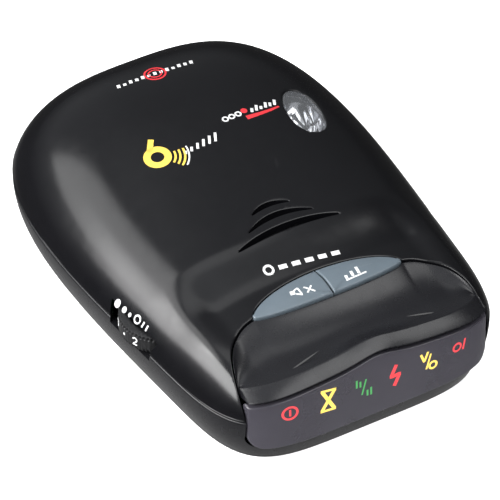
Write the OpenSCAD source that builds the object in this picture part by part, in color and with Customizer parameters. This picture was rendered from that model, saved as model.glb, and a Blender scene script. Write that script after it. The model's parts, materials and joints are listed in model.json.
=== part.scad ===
// Windscreen radar detector: a palm-sized case in two halves, a front panel with a
// smoked display window, two press buttons, a thumb-wheel volume control, a clear
// laser receiver window in the top and the receiver electronics inside.
// +Z is up, the display faces -Y, the nose points to +Y. The origin is on the
// bottom, in the middle of the length and the width.

/* [Case] */
// Overall length of the case
body_len = 109.6; // [104:0.2:136]
// Full width where the display half meets the nose half
waist_w = 72; // [64:0.5:88]
// Length of the display half of the outline
front_len = 35.6; // [32:0.2:43]
// Height of the lower case, up to the parting line
lower_h = 12; // [10:0.1:15]
// Height of the dome above the parting line
crown_h = 14.8; // [13.4:0.1:18]
// Wall thickness of both case halves
wall = 1.8; // [1.4:0.1:2.2]
// How far the lower case tucks in at its underside
under_cut = 3.5; // [2:0.1:4.5]

/* [Display] */
// Thickness of the smoked display window
lens_t = 1.8; // [1.2:0.1:2.2]
// Height of the lower edge of the display window
lens_bottom = 4.6; // [4:0.1:6]
// Height of the display window at its outer ends
lens_side_z = 16.6; // [15:0.1:18]
// Distance between neighbouring indicator lamps
lamp_pitch = 7.96; // [7:0.02:8.2]
// Thickness of the front panel
panel_t = 1.8; // [1.2:0.1:2.2]

/* [Controls] */
// Half of the length of the two buttons together
boat_half = 17.3; // [15:0.1:18]
// Depth of the two buttons at the middle
boat_depth = 7.7; // [7:0.1:8]
// Travel of each button
button_travel = 0.4; // [0.2:0.05:0.6]
// Radius of the volume wheel
wheel_r = 8.5; // [8:0.1:9]
// Thickness of the volume wheel
wheel_t = 4; // [3:0.1:4.4]
// How far the volume wheel stands out of the side
wheel_proud = 1; // [0.8:0.1:1.6]

/* [Receiver] */
// Radius of the loudspeaker frame
speaker_r = 12; // [11:0.1:12.4]
// Radius of the hole that the power plug goes into
jack_bore_r = 1.8; // [1.75:0.05:2]
// Depth of the hole that the power plug goes into
jack_depth = 14; // [13:0.1:14.4]
// Half of the width of the horn antenna at its mouth
horn_half = 13; // [11:0.1:14]
// Width of the slot for the windscreen bracket
bracket_w = 24; // [20:0.1:28]
// Height of the slot for the windscreen bracket
bracket_t = 2.6; // [2:0.1:3]
// Radius of the thread of the case screws
screw_r = 1.15; // [1:0.05:1.3]

/* [Hidden] */

// Outline and dome
front_pow = 4.94;
nose_pow = 3.16;
nose_len = body_len - front_len;
mid_y = (nose_len - front_len) / 2;
taper_rate = 0.0026;
dome_pow = 4.78;
dome_round = 1.416;
crown_lean = 0.005;
crown_bow = 0.0019;
crown_arch = 0.002;
under_pow = 2.2;
turns = 56;
dome_rings = 11;

// The top sinks a little towards the front panel
sink_h = 3.4;
sink_start = front_len - 38.6;
sink_run = 13;

// Clearances
gap = 0.25;
run_gap = 0.05;
drop_gap = 0.1;

// Front panel and display window
disp_half = half_at(-(front_len - 5)) - 0.6;
corner_y = -(front_len - 4.3);
corner_ry = 16.2;
tip_y = corner_y + corner_ry;
boat_rear = boat_depth * 0.69;
boat_front = boat_depth * 0.31;
edge_step = 0.35;
brow_inset = 3.4;
brow_rise = 2;
scoop_sag = 2.1;
lens_lean = 0.5;
lens_corner_r = 3;
panel_side = 0.6;
panel_cols = 36;
panel_rows = 9;
brow_rows = 4;
lip_t = 0.9;

// Legend film, light box and lamps behind the window
film_half = disp_half - 4.2;
film_d = lens_lean + lens_t + 0.35;
film_t = 0.25;
box_d = film_d + film_t + 0.05;
box_depth = 4.5;
lamp_z = lens_side_z - 4.2;
lamp_r = 1.5;
lamp_len = 4.2;
lamp_back = box_d + box_depth + 2.2;
LAMPS = [for (k = [-2.5:1:2.5]) k * lamp_pitch];

// Heights of the inside
board_t = 1.6;
board_top = lower_h - 3.4;
board_z = board_top - board_t;
board_inset = 5.5;
post_r = 2.5;

// Controls
button_wall = 1.6;
tip_cut = 0.9;
split = 0.15;
switch_x = 8.5;
switch_y = tip_y + 1;
switch_body = 6;
switch_h = 3.5;
plunger_r = 1.6;
plunger_h = 1.2;
plunger_sunk = 0.7;
stem_r = 1.4;
wheel_y = -(front_len - 39.1);
wheel_z = lower_h + 1;
wheel_x = -(half_at(wheel_y) - wheel_r + wheel_proud);
wheel_gap = 0.5;
wheel_room = 1.8;
wheel_shaft_r = 1.5;
pot_h = wheel_z - wheel_t / 2 - 0.4 - board_top;
pot_out = 6.6 - wall;
pot_in = 5.2;
pot_depth = 12;

// Loudspeaker
speaker_y = -(front_len - 39.8);
speaker_top = min(top_z(speaker_r, speaker_y), top_z(0, speaker_y - speaker_r)) - wall - 0.9;
speaker_rim = 1.2;
basket_h = 4.2;
magnet_r = 7.5;
magnet_h = 4.2;
coil_r = 3.6;
cloth_t = 0.3;
lead_r = 0.45;
lead_steps = 12;
ring_wall = 1.4;

// Laser receiver in the top
eye_x = 21.7;
eye_y = speaker_y + 27.3;
eye_rx = 3.9;
eye_ry = 7;
eye_turn = -8;
reflector_top = top_z(eye_x + eye_rx, eye_y) - wall - 0.8;
reflector_h = 7;
bowl_r = 7;
sensor_hole_r = 1.7;

// Horn antenna
horn_back = speaker_y + 24.5;
horn_front = nose_len - 14;
horn_wall = 1.5;
horn_z = board_top + 0.1;
horn_h = 14;
horn_throat = 6;
throat_h = 6;

// Power socket
jack_y = speaker_y - 4;
jack_z = lower_h + 0.2;
jack_face = half_at(jack_y) - 2.1;
jack_nose_r = 4;
jack_body = 9;
jack_body_len = 16.5;
contact_r = 1;
contact_len = 0.8;

// Capacitors: across, along, radius, height
CAPACITORS = [
    [14.5, speaker_y + 14, 2.5, 6],
    [-15, speaker_y + 13, 2, 5],
    [14.8, speaker_y + 5.6, 2, 5]
];

// Fasteners
boss_r = 3;
boss_in = wall + boss_r + 3.2;
screw_front_y = -(front_len - 22.8);
screw_nose_y = speaker_y + 43.8;
head_r = 2.4;
head_h = 1.8;
head_seat = 4;
SCREWS = [
    for (side = [-1, 1], y = [screw_front_y, screw_nose_y])
        [side * (half_at(y) - boss_in), y]
];
board_screw_r = 0.85;
BOARD_SCREWS = [[-21, speaker_y + 24], [22, speaker_y + 8], [0, switch_y - 6]];

// Bracket slot
slot_depth = 14;
slot_z = wall;
slot_roof = 1;

// Nose window
nose_win_half = 8;
nose_win_z = lower_h + 3;
nose_win_h = 5;

function sgn(v) = v < 0 ? -1 : 1;
function smooth(t) = let (c = max(0, min(1, t))) c * c * (3 - 2 * c);
function mix(a, b, t) = a * (1 - t) + b * t;

// Sizes of the outline at height-independent place y, drawn in by d
function taper(y) = 1 + taper_rate * y;
function end_len(s) = s > 0 ? nose_len : front_len;
function end_pow(s) = s > 0 ? nose_pow : front_pow;
function half_at(y, d = 0) =
    (waist_w / 2 - d) * taper(y)
    * pow(max(0, 1 - pow(abs(y) / (end_len(y) - d), end_pow(y))), 1 / end_pow(y));
function rim(t, d = 0) =
    let (c = cos(t), s = sin(t), y = sgn(s) * (end_len(s) - d) * pow(abs(s), 2 / end_pow(s)))
    [sgn(c) * (waist_w / 2 - d) * pow(abs(c), 2 / end_pow(s)) * taper(y), y];

// 0 on the middle of the dome and 1 on its rim
function level(x, y, d = 0) =
    let (n = end_pow(y))
    pow(pow(abs(x) / ((waist_w / 2 - d) * taper(y)), n)
        + pow(abs(y) / (end_len(y) - d), n), 1 / n);
function sink(x, y) =
    sink_h * smooth((-y - sink_start) / sink_run)
    * (1 - 0.9 * smooth((abs(x) - disp_half + 6.7) / 8));
function top_z(x, y, d = 0) =
    lower_h + (crown_h - d + crown_lean * y + crown_bow * y * y
        - crown_arch * x * x - sink(x, y))
    * pow(max(0, 1 - pow(min(1, level(x, y, d)), dome_pow)), 1 / dome_round);

// Front of the outline, as a depth over the width
function outline_y(x, d = 0) =
    -(front_len - d)
    * pow(max(0, 1 - pow(abs(x) / ((waist_w / 2 - d) * taper(-0.9 * front_len)), front_pow)),
        1 / front_pow);

// Curves of the front panel over the width
function boat_q(x) = min(1, x * x / (boat_half * boat_half));
function boat_rear_y(x) = tip_y + boat_rear * pow(1 - boat_q(x), 0.6);
function boat_front_y(x) = tip_y - boat_front * pow(1 - boat_q(x), 0.6);
function corner_arc_y(x, g) =
    corner_y + (corner_ry - g)
    * sqrt(max(0, 1 - pow((abs(x) - boat_half) / (disp_half - g - boat_half), 2)));
function panel_rear_y(x, g) =
    abs(x) < boat_half ? boat_front_y(x) - g : corner_arc_y(x, g);
function panel_rear_z(x) =
    abs(x) < boat_half
    ? top_z(boat_half, tip_y) - edge_step + 0.8 * (1 - boat_q(x))
    : top_z(x, corner_arc_y(x, 0)) - edge_step;
function lens_top_z(x) =
    lens_side_z + 3.2 * (1 - pow(x / disp_half, 2)) + 1.4 * exp(-pow(x / 5.5, 2));
function crest_z(x) =
    lens_side_z + brow_rise + 3.4 * (1 - pow(x / disp_half, 2)) + 1.2 * exp(-pow(x / 6, 2))
    - 0.6 * pow(abs(x) / disp_half, 12);
function crest_y(x) =
    let (full = panel_rear_y(x, gap) - outline_y(x))
    outline_y(x) + min(brow_inset + 1.2 * pow(abs(x) / disp_half, 6), 0.8 * full);
function across(j, cols, half) = half * sin(90 * (2 * j / cols - 1));

// A point of the panel: k runs from the rear edge over the scoop and the brow
function panel_point(x, k) =
    k <= panel_rows
    ? let (v = k / panel_rows)
        [x, mix(panel_rear_y(x, gap), crest_y(x), v),
            mix(panel_rear_z(x), crest_z(x), v)
            - scoop_sag * sin(180 * v) * (1 - 0.7 * pow(abs(x) / disp_half, 4))]
    : let (v = (k - panel_rows) / brow_rows)
        [x, mix(crest_y(x), outline_y(x) + lens_lean, v) - 0.35 * sin(180 * v),
            mix(crest_z(x), lens_top_z(x) + 0.15, v) + 0.35 * sin(180 * v)];

// Closed skin through a stack of rings, with a point at each end
module stack(rings, first, last) {
    n = len(rings[0]);
    m = len(rings);
    points = concat([first], [for (r = rings) each r], [last]);
    end = n * m + 1;
    faces = concat(
        [for (i = [0:n - 1]) [0, 1 + (i + 1) % n, 1 + i]],
        [for (j = [0:m - 2], i = [0:n - 1])
            let (a = 1 + j * n + i, b = 1 + j * n + (i + 1) % n)
            each [[a, b, b + n], [a, b + n, a + n]]],
        [for (i = [0:n - 1]) [end, 1 + (m - 1) * n + i, 1 + (m - 1) * n + (i + 1) % n]]
    );
    polyhedron(points, faces, convexity = 8);
}

// Closed slab between two grids with the same rows and columns
module slab(top, bottom) {
    m = len(top);
    n = len(top[0]);
    h = m * n;
    points = concat([for (r = top) each r], [for (r = bottom) each r]);
    faces = concat(
        [for (j = [0:m - 2], i = [0:n - 2])
            let (a = j * n + i)
            each [[a, a + 1, a + n + 1], [a, a + n + 1, a + n],
                [h + a, h + a + n + 1, h + a + 1], [h + a, h + a + n, h + a + n + 1]]],
        [for (i = [0:n - 2])
            let (b = (m - 1) * n + i)
            each [[i + 1, i, h + i], [i + 1, h + i, h + i + 1],
                [b, b + 1, h + b + 1], [b, h + b + 1, h + b]]],
        [for (j = [0:m - 2])
            let (a = j * n, e = j * n + n - 1)
            each [[a, a + n, h + a + n], [a, h + a + n, h + a],
                [e + n, e, h + e], [e + n, h + e, h + e + n]]]
    );
    polyhedron(points, faces, convexity = 8);
}

module in_frame() {
    translate([0, -mid_y, 0]) children();
}

// Cylinder whose axis lies along Y, from y0 to y1
module along_y(r, x, y0, y1, z, sides = 48) {
    translate([x, y1, z]) rotate([90, 0, 0]) cylinder(r = r, h = y1 - y0, $fn = sides);
}

// Cylinder whose axis lies along X, from x0 to x1
module along_x(r, x0, x1, y, z, sides = 48) {
    translate([x0, y, z]) rotate([0, 90, 0]) cylinder(r = r, h = x1 - x0, $fn = sides);
}

// Upright cylinder from z0 to z1
module upright(r, x, y, z0, z1, sides = 48) {
    translate([x, y, z0]) cylinder(r = r, h = z1 - z0, $fn = sides);
}

function dome_ring(k, d) =
    let (s = pow(cos(90 * k / dome_rings), 0.7))
    [for (i = [0:turns - 1])
        let (p = rim(360 * i / turns, d) * s) [p.x, p.y, top_z(p.x, p.y, d)]];
function tuck(z) = under_cut * pow(1 - min(1, z / lower_h), under_pow);
function wall_ring(z, d) =
    [for (i = [0:turns - 1]) let (p = rim(360 * i / turns, d + tuck(z))) [p.x, p.y, z]];
function flat_ring(z, d, s) =
    [for (i = [0:turns - 1]) let (p = rim(360 * i / turns, d) * s) [p.x, p.y, z]];

// Plan of the opening for the display and the front panel
module display_plan(g) {
    steps = 14;
    right = [for (k = [0:steps])
        let (t = 90 * k / steps)
        [boat_half + (disp_half - g - boat_half) * cos(t), corner_y + (corner_ry - g) * sin(t)]];
    left = [for (k = [steps:-1:0]) [-right[k].x, right[k].y]];
    polygon(concat([[disp_half - g, -front_len - 5]], right, left, [[-disp_half + g, -front_len - 5]]));
}

// Plan of the two buttons together, grown by g
module boat_plan(g) {
    steps = 40;
    rear = [for (k = [0:steps]) let (x = across(k, steps, boat_half)) [x, boat_rear_y(x) + g]];
    front = [for (k = [steps:-1:0]) let (x = across(k, steps, boat_half)) [x, boat_front_y(x) - g]];
    polygon(concat([[-boat_half - g, tip_y]], rear, [[boat_half + g, tip_y]], front));
}

// Plan of the laser receiver window, drawn in by g
module eye_plan(g) {
    translate([eye_x, eye_y]) rotate(eye_turn)
        polygon([for (i = [0:35])
            let (t = 10 * i, c = cos(t), s = sin(t))
            [sgn(c) * (eye_rx - g) * pow(abs(c), 0.9), sgn(s) * (eye_ry - g) * pow(abs(s), 0.9)]]);
}

// A crescent slot, widest in the middle
module crescent(half, sag, width, y) {
    steps = 16;
    rear = [for (k = [0:steps])
        let (x = mix(-half, half, k / steps), q = x * x / (half * half))
        [x, y - sag * q + width * pow(1 - q, 0.8) / 2 + 0.1]];
    front = [for (k = [steps:-1:0])
        let (x = mix(-half, half, k / steps), q = x * x / (half * half))
        [x, y - sag * q - width * pow(1 - q, 0.8) / 2 - 0.1]];
    polygon(concat(rear, front));
}

module speaker_slots() {
    for (s = [[12, 1.5, 1.5, 1.9], [7.6, 2, 1.3, 5.8], [4.4, 1.2, 1.1, 9.2]])
        crescent(s[0], s[1], s[2], speaker_y - 4.2 + s[3]);
}

module wheel_space() {
    upright(wheel_r + wheel_room, wheel_x, wheel_y, wheel_z - wheel_t / 2 - wheel_gap,
        wheel_z + wheel_t / 2 + wheel_gap, 96);
}

module jack_space() {
    along_x(jack_nose_r + drop_gap, jack_face - wall - 4, jack_face + 5, jack_y, jack_z);
}

module nose_window_block(g) {
    translate([-nose_win_half + g, nose_len - 12, nose_win_z + g])
        cube([2 * (nose_win_half - g), 20, nose_win_h - 2 * g]);
}

module dome_shell() {
    stack(
        concat(
            [for (k = [dome_rings - 1:-1:0]) dome_ring(k, 0)],
            [for (k = [0:dome_rings - 1]) dome_ring(k, wall)]
        ),
        [0, 0, top_z(0, 0)],
        [0, 0, top_z(0, 0, wall)]
    );
}

// Everything under the dome drawn in by d, down to the parting line
module under_dome(d) {
    stack([for (k = [dome_rings - 1:-1:0]) dome_ring(k, d)], [0, 0, top_z(0, 0, d)], [0, 0, lower_h]);
}

module upper_case() {
    color("#26272a") in_frame() difference() {
        union() {
            dome_shell();
            for (p = SCREWS)
                upright(boss_r, p.x, p.y, lower_h + drop_gap,
                    top_z(p.x + sgn(p.x) * boss_r, p.y) - wall / 3);
            intersection() {
                under_dome(wall / 2);
                difference() {
                    upright(speaker_r + ring_wall, 0, speaker_y, speaker_top - basket_h, speaker_top + 9, 72);
                    upright(speaker_r + drop_gap, 0, speaker_y, speaker_top - 9, speaker_top + 19, 72);
                }
            }
        }
        translate([0, 0, lower_h - 5]) linear_extrude(crown_h + 20) display_plan(0);
        translate([0, 0, lower_h]) linear_extrude(crown_h + 20) boat_plan(gap);
        translate([0, 0, reflector_top - 2]) linear_extrude(20) eye_plan(0);
        translate([0, 0, speaker_top]) linear_extrude(20) speaker_slots();
        for (p = SCREWS)
            upright(screw_r + run_gap, p.x, p.y, lower_h - 1, lower_h + 7);
        wheel_space();
        jack_space();
        nose_window_block(0);
    }
}

module lower_shell() {
    heights = [1, 0.68, 0.42, 0.27, 0.15];
    stack(
        concat(
            [for (s = [0.5, 1]) flat_ring(wall, wall + tuck(wall), s)],
            [for (k = [4:-1:0]) wall_ring(max(wall + 0.3 * (4 - k) + 0.2, lower_h * heights[k]), wall)],
            [for (k = [0:4]) wall_ring(lower_h * heights[k], 0)],
            [wall_ring(0.6, 0), wall_ring(0, 0), flat_ring(0, under_cut, 0.5)]
        ),
        [0, 0, wall],
        [0, 0, 0]
    );
}

module bracket_pocket(g) {
    translate([-bracket_w / 2 - g, nose_len - slot_depth - g, slot_z - 0.01])
        cube([bracket_w + 2 * g, slot_depth - wall, bracket_t + 0.01 + g]);
}

module lower_case() {
    color("#2b2c2f") in_frame() difference() {
        union() {
            lower_shell();
            for (p = SCREWS)
                upright(boss_r + 0.6, p.x, p.y, wall / 2, lower_h);
            for (p = BOARD_SCREWS)
                upright(post_r, p.x, p.y, wall / 2, board_z);
            bracket_pocket(slot_roof);
        }
        translate([-disp_half + 0.3, -front_len - 5, lens_bottom - 0.2])
            cube([2 * disp_half - 0.6, 14, lower_h]);
        bracket_pocket(0);
        translate([-bracket_w / 2, nose_len - wall - 6, slot_z])
            cube([bracket_w, 12, bracket_t]);
        for (p = SCREWS) {
            upright(screw_r + 0.35, p.x, p.y, -1, lower_h + 1);
            upright(head_r + 0.3, p.x, p.y, -1, head_seat);
        }
        for (p = BOARD_SCREWS)
            upright(board_screw_r + run_gap, p.x, p.y, wall, board_z + 1);
        wheel_space();
        jack_space();
        translate([-18, -8, -1]) cube([36, 24, 1.2]);
    }
}

module front_panel() {
    cols = panel_cols;
    half = disp_half - panel_side;
    top = [for (k = [0:panel_rows + brow_rows])
        [for (j = [0:cols]) panel_point(across(j, cols, half), k)]];
    under = [for (k = [0:panel_rows + brow_rows])
        let (v = max(0, k - panel_rows) / brow_rows)
        [for (j = [0:cols])
            let (p = panel_point(across(j, cols, half), k))
            [p.x, p.y + panel_t * v, p.z - mix(panel_t, lip_t, v)]]];
    color("#2a2b30") in_frame() slab(top, under);
}

function lens_point(x, v, d) =
    let (
        corner = max(0, abs(x) - (disp_half - 0.5 - lens_corner_r)),
        low = lens_bottom + lens_corner_r - sqrt(max(0, lens_corner_r * lens_corner_r - corner * corner)),
        z = mix(lens_top_z(x) - 1.1, low, v),
        lean = lens_lean * (z - lens_bottom) / (lens_side_z - lens_bottom)
    )
    [x, outline_y(x) + lean + d, z];

module display_lens() {
    rows = 6;
    cols = 32;
    half = disp_half - 0.5;
    outer = [for (k = [0:rows]) [for (j = [0:cols]) lens_point(across(j, cols, half), k / rows, 0)]];
    inner = [for (k = [0:rows]) [for (j = [0:cols]) lens_point(across(j, cols, half), k / rows, lens_t)]];
    color("#3c3a42") in_frame() slab(outer, inner);
}

// A strip that follows the front of the outline, from d to d + depth behind it
module front_strip(half, d, depth, z0, z1) {
    steps = 20;
    front = [for (k = [0:steps]) let (x = mix(-half, half, k / steps)) [x, outline_y(x) + d]];
    rear = [for (k = [steps:-1:0]) let (x = mix(-half, half, k / steps)) [x, outline_y(x) + d + depth]];
    translate([0, 0, z0]) linear_extrude(z1 - z0) polygon(concat(front, rear));
}

module legend_film() {
    color("#141416") in_frame() front_strip(film_half, film_d, film_t, board_top - 1.4, lens_side_z - 0.2);
}

module light_box() {
    color("#e8e6e0") in_frame() difference() {
        front_strip(film_half, box_d, box_depth, board_top + 0.4, lens_side_z - 1);
        for (x = LAMPS) {
            translate([x - lamp_pitch / 2 + 0.6, -front_len - 2, board_top + 1.2])
                cube([lamp_pitch - 1.2, outline_y(x) + front_len + 2 + box_d + box_depth - 1.2,
                    lens_side_z - board_top - 3]);
            along_y(lamp_r + drop_gap, x, outline_y(x), outline_y(x) + box_d + box_depth + 3, lamp_z);
        }
    }
}

module lamp(x) {
    back = outline_y(x) + lamp_back;
    union() {
        along_y(lamp_r, x, back - lamp_len, back, lamp_z, 32);
        translate([x, back - lamp_len, lamp_z]) sphere(r = lamp_r, $fn = 32);
        along_y(lamp_r + 0.35, x, back - 0.8, back, lamp_z, 32);
        for (side = [-0.8, 0.8])
            translate([x + side - 0.25, back, 0]) {
                translate([0, -0.1, lamp_z - 0.25]) cube([0.5, 1.5, 0.5]);
                translate([0, 0.9, board_top]) cube([0.5, 0.5, lamp_z - board_top]);
            }
    }
}

module indicator_lamps() {
    color("#f2d8c8") in_frame() for (x = LAMPS) lamp(x);
}

// One button: side is -1 for the left one and 1 for the right one
function button_point(x, v) =
    let (rear = boat_rear_y(x), front = boat_front_y(x), q = boat_q(x))
    [x, mix(rear, front, v),
        mix(top_z(x, rear) + 0.1, panel_rear_z(x) + edge_step + 0.1, v)
        + 0.7 * sin(180 * v) * (1 - q)];

module button(side) {
    cols = 16;
    rows = 6;
    across_x = [for (j = [0:cols]) mix(split, boat_half - tip_cut, sin(90 * j / cols))];
    columns = [for (j = [0:cols]) side < 0 ? -across_x[cols - j] : across_x[j]];
    top = [for (k = [0:rows]) [for (x = columns) button_point(x, k / rows)]];
    under = [for (r = top) [for (p = r) [p.x, p.y, p.z - button_wall]]];
    stem_top = button_point(side * switch_x, 0.5).z - 0.6;
    union() {
        slab(top, under);
        upright(stem_r, side * switch_x, switch_y, board_top + switch_h + plunger_h + run_gap, stem_top, 32);
    }
}

module left_button() {
    color("#66727b") in_frame() button(-1);
}

module right_button() {
    color("#66727b") in_frame() button(1);
}

module switch_bodies() {
    color("#1d1d1f") in_frame() for (side = [-1, 1])
        translate([side * switch_x, switch_y, board_top]) difference() {
            translate([-switch_body / 2, -switch_body / 2, 0]) cube([switch_body, switch_body, switch_h]);
            translate([0, 0, switch_h - plunger_sunk - button_travel - drop_gap])
                cylinder(r = plunger_r + drop_gap, h = 2, $fn = 48);
        }
}

module plunger(side) {
    upright(plunger_r, side * switch_x, switch_y, board_top + switch_h - plunger_sunk,
        board_top + switch_h + plunger_h);
}

module left_plunger() {
    color("#d8d2c4") in_frame() plunger(-1);
}

module right_plunger() {
    color("#d8d2c4") in_frame() plunger(1);
}

module volume_wheel() {
    ribs = 60;
    color("#1b1b1d") in_frame() translate([wheel_x, wheel_y, wheel_z - wheel_t / 2]) difference() {
        union() {
            linear_extrude(wheel_t) polygon([for (i = [0:2 * ribs - 1])
                (wheel_r - (i % 2) * 0.25) * [cos(180 * i / ribs), sin(180 * i / ribs)]]);
            translate([0, 0, -pot_h]) cylinder(r = wheel_shaft_r, h = pot_h + 1, $fn = 48);
        }
        translate([0, 0, wheel_t - 0.8]) cylinder(r = wheel_r - 2.2, h = 1, $fn = 72);
    }
}

module volume_pot() {
    color("#7c5a34") in_frame() translate([wheel_x, wheel_y, board_top]) difference() {
        translate([-pot_out, -pot_depth / 2, 0]) cube([pot_out + pot_in, pot_depth, pot_h]);
        translate([0, 0, -1]) cylinder(r = wheel_shaft_r + run_gap, h = pot_h + 2, $fn = 48);
    }
}

module laser_lens() {
    color("#dfe4ea") in_frame() intersection() {
        dome_shell();
        translate([0, 0, reflector_top - 2]) linear_extrude(20) eye_plan(drop_gap);
    }
}

module laser_reflector() {
    color("#c9ccd2") in_frame() difference() {
        translate([0, 0, reflector_top - reflector_h]) linear_extrude(reflector_h) eye_plan(-0.6);
        translate([eye_x, eye_y, reflector_top + 3.4]) sphere(r = bowl_r, $fn = 64);
        upright(sensor_hole_r, eye_x, eye_y, reflector_top - reflector_h - 1, reflector_top);
    }
}

module laser_sensor() {
    top = reflector_top - reflector_h - 0.2;
    color("#15151a") in_frame() union() {
        translate([eye_x - 2.5, eye_y - 2.5, top - 1.2]) cube([5, 5, 1.2]);
        upright(sensor_hole_r - 0.15, eye_x, eye_y, top - 0.2, top + 1.4, 32);
    }
}

module sensor_post() {
    top = reflector_top - reflector_h - 0.2 - 1.2;
    color("#3a3a3e") in_frame() difference() {
        translate([eye_x - 3, eye_y - 3, board_top]) cube([6, 6, top - board_top]);
        translate([eye_x - 1.8, eye_y - 4, board_top + 1]) cube([3.6, 8, top - board_top - 2.2]);
    }
}

module nose_window() {
    color("#3a1216") in_frame() intersection() {
        dome_shell();
        nose_window_block(drop_gap);
    }
}

module main_board() {
    inner = [for (i = [0:turns - 1]) rim(360 * i / turns, board_inset)];
    color("#1f5a36") in_frame() difference() {
        translate([0, 0, board_z]) linear_extrude(board_t) intersection() {
            polygon(inner);
            translate([-waist_w, -front_len + 9.6]) square([2 * waist_w, body_len - 9.6 - slot_depth - 2]);
        }
        for (p = SCREWS)
            upright(boss_r + 1, p.x, p.y, board_z - 1, board_top + 1);
        for (p = BOARD_SCREWS)
            upright(board_screw_r + 0.35, p.x, p.y, board_z - 1, board_top + 1);
        upright(wheel_shaft_r + 0.5, wheel_x, wheel_y, board_z - 1, board_top + 1);
    }
}

// A tapered box along Y: half widths and top heights at its back and at its mouth
module taper_box(w0, w1, z0, z1, y0, y1, base) {
    top = [[[-w1, y1, z1], [w1, y1, z1]], [[-w0, y0, z0], [w0, y0, z0]]];
    under = [[[-w1, y1, base], [w1, y1, base]], [[-w0, y0, base], [w0, y0, base]]];
    slab(top, under);
}

module horn_antenna() {
    base = horn_z;
    color("#9aa0a4") in_frame() difference() {
        taper_box(horn_throat + horn_wall, horn_half, base + throat_h + 2 * horn_wall,
            base + horn_h, horn_back, horn_front, base);
        taper_box(horn_throat, horn_half - horn_wall, base + throat_h + horn_wall,
            base + horn_h - horn_wall, horn_back + horn_wall, horn_front + 0.5, base + horn_wall);
        for (side = [-1, 1])
            along_y(0.9, side * 4.5, horn_back - 1, horn_back + horn_wall + 1, base + 4.5, 32);
    }
}

module antenna_cover() {
    color("#b9bcbf") in_frame() difference() {
        translate([-horn_throat - horn_wall, horn_back - 1.3, horn_z])
            cube([2 * (horn_throat + horn_wall), 1.25, throat_h + 2 * horn_wall]);
        for (side = [-1, 1])
            along_y(1.1, side * 4.5, horn_back - 3, horn_back + 1, horn_z + 4.5, 32);
    }
}

module antenna_screws() {
    color("#c8c8c8") in_frame() for (side = [-1, 1]) union() {
        along_y(0.85, side * 4.5, horn_back - 2, horn_back + horn_wall, horn_z + 4.5, 32);
        along_y(1.8, side * 4.5, horn_back - 2.7, horn_back - 1.35, horn_z + 4.5, 32);
    }
}

module mixer_shield() {
    color("#aeb3b6") in_frame() translate([-11, horn_back - 14, board_top]) difference() {
        cube([22, 10, 5]);
        translate([0.6, 0.6, -1]) cube([20.8, 8.8, 5.4]);
    }
}

module speaker_frame() {
    bottom = speaker_top - basket_h;
    color("#55585c") in_frame() translate([0, speaker_y, bottom]) rotate_extrude($fn = 72)
        polygon([
            [coil_r + 1.2, 0], [magnet_r + 1, 0], [speaker_r, basket_h - speaker_rim],
            [speaker_r, basket_h], [speaker_r - 2.2, basket_h], [speaker_r - 2.2, basket_h - 1.3],
            [magnet_r, 0.7], [coil_r + 1.2, 0.7]
        ]);
}

module speaker_magnet() {
    bottom = speaker_top - basket_h;
    color("#2f3033") in_frame() translate([0, speaker_y, bottom - magnet_h]) difference() {
        cylinder(r = magnet_r, h = magnet_h, $fn = 72);
        translate([0, 0, 1]) difference() {
            cylinder(r = coil_r + 0.5, h = magnet_h, $fn = 64);
            cylinder(r = coil_r - 1, h = magnet_h, $fn = 64);
        }
    }
}

module speaker_cone() {
    bottom = speaker_top - basket_h;
    color("#1a1a1a") in_frame() translate([0, speaker_y, bottom]) rotate_extrude($fn = 72)
        polygon([
            [coil_r - 0.4, -1.6], [coil_r, -1.6], [coil_r, 1.3], [speaker_r - 2.7, basket_h - 0.9],
            [speaker_r - 2.7, basket_h - 0.4], [coil_r - 0.4, 1.9]
        ]);
}

module speaker_cloth() {
    color("#101010") in_frame()
        upright(speaker_r - 0.2, 0, speaker_y, speaker_top + 0.02, speaker_top + cloth_t, 64);
}

// A lead of radius r through the points of a route
module lead(route, r) {
    sides = 8;
    n = len(route);
    rings = [for (k = [0:n - 1])
        let (
            a = route[max(0, k - 1)],
            b = route[min(n - 1, k + 1)],
            d = (b - a) / norm(b - a),
            u = cross(d, [0.1, 1, 0.2]) / norm(cross(d, [0.1, 1, 0.2])),
            w = cross(u, d)
        )
        [for (i = [0:sides - 1]) route[k] + r * (u * cos(45 * i) + w * sin(45 * i))]];
    stack(rings, route[0], route[n - 1]);
}

function lead_route(side) =
    let (
        start = [side * (magnet_r + 2.3), speaker_y + 3, speaker_top - basket_h + 0.2],
        finish = [side * 5.5, speaker_y + 9, board_top + 0.5]
    )
    [for (k = [0:lead_steps])
        let (t = k / lead_steps, s = smooth(t))
        [mix(start.x, finish.x, s), mix(start.y, finish.y, t),
            mix(start.z, finish.z, s) - 2.2 * sin(180 * t) * (1 - t)]];

module speaker_leads() {
    color("#b3202a") in_frame() for (side = [-1, 1]) lead(lead_route(side), lead_r);
}

module dc_jack() {
    body_x = jack_face - wall - jack_body_len;
    body_end = body_x + jack_body_len - 1;
    roof = min([for (side = [-1, 1]) top_z(body_end, jack_y + side * jack_body / 2, wall)]);
    body_top = min(jack_z + 4, roof - 0.3);
    color("#18181a") in_frame() difference() {
        union() {
            translate([body_x, jack_y - jack_body / 2, board_top])
                cube([body_end - body_x, jack_body, body_top - board_top]);
            along_x(jack_nose_r, body_end - 0.05, jack_face, jack_y, jack_z);
        }
        along_x(jack_bore_r, jack_face - jack_depth, jack_face + 1, jack_y, jack_z);
        along_x(contact_r, jack_face - jack_depth - 0.1 - contact_len, jack_face, jack_y, jack_z, 32);
    }
}

module jack_contact() {
    end = jack_face - jack_depth - 0.1;
    color("#d9d2b0") in_frame() along_x(contact_r, end - contact_len, end, jack_y, jack_z, 32);
}

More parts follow.
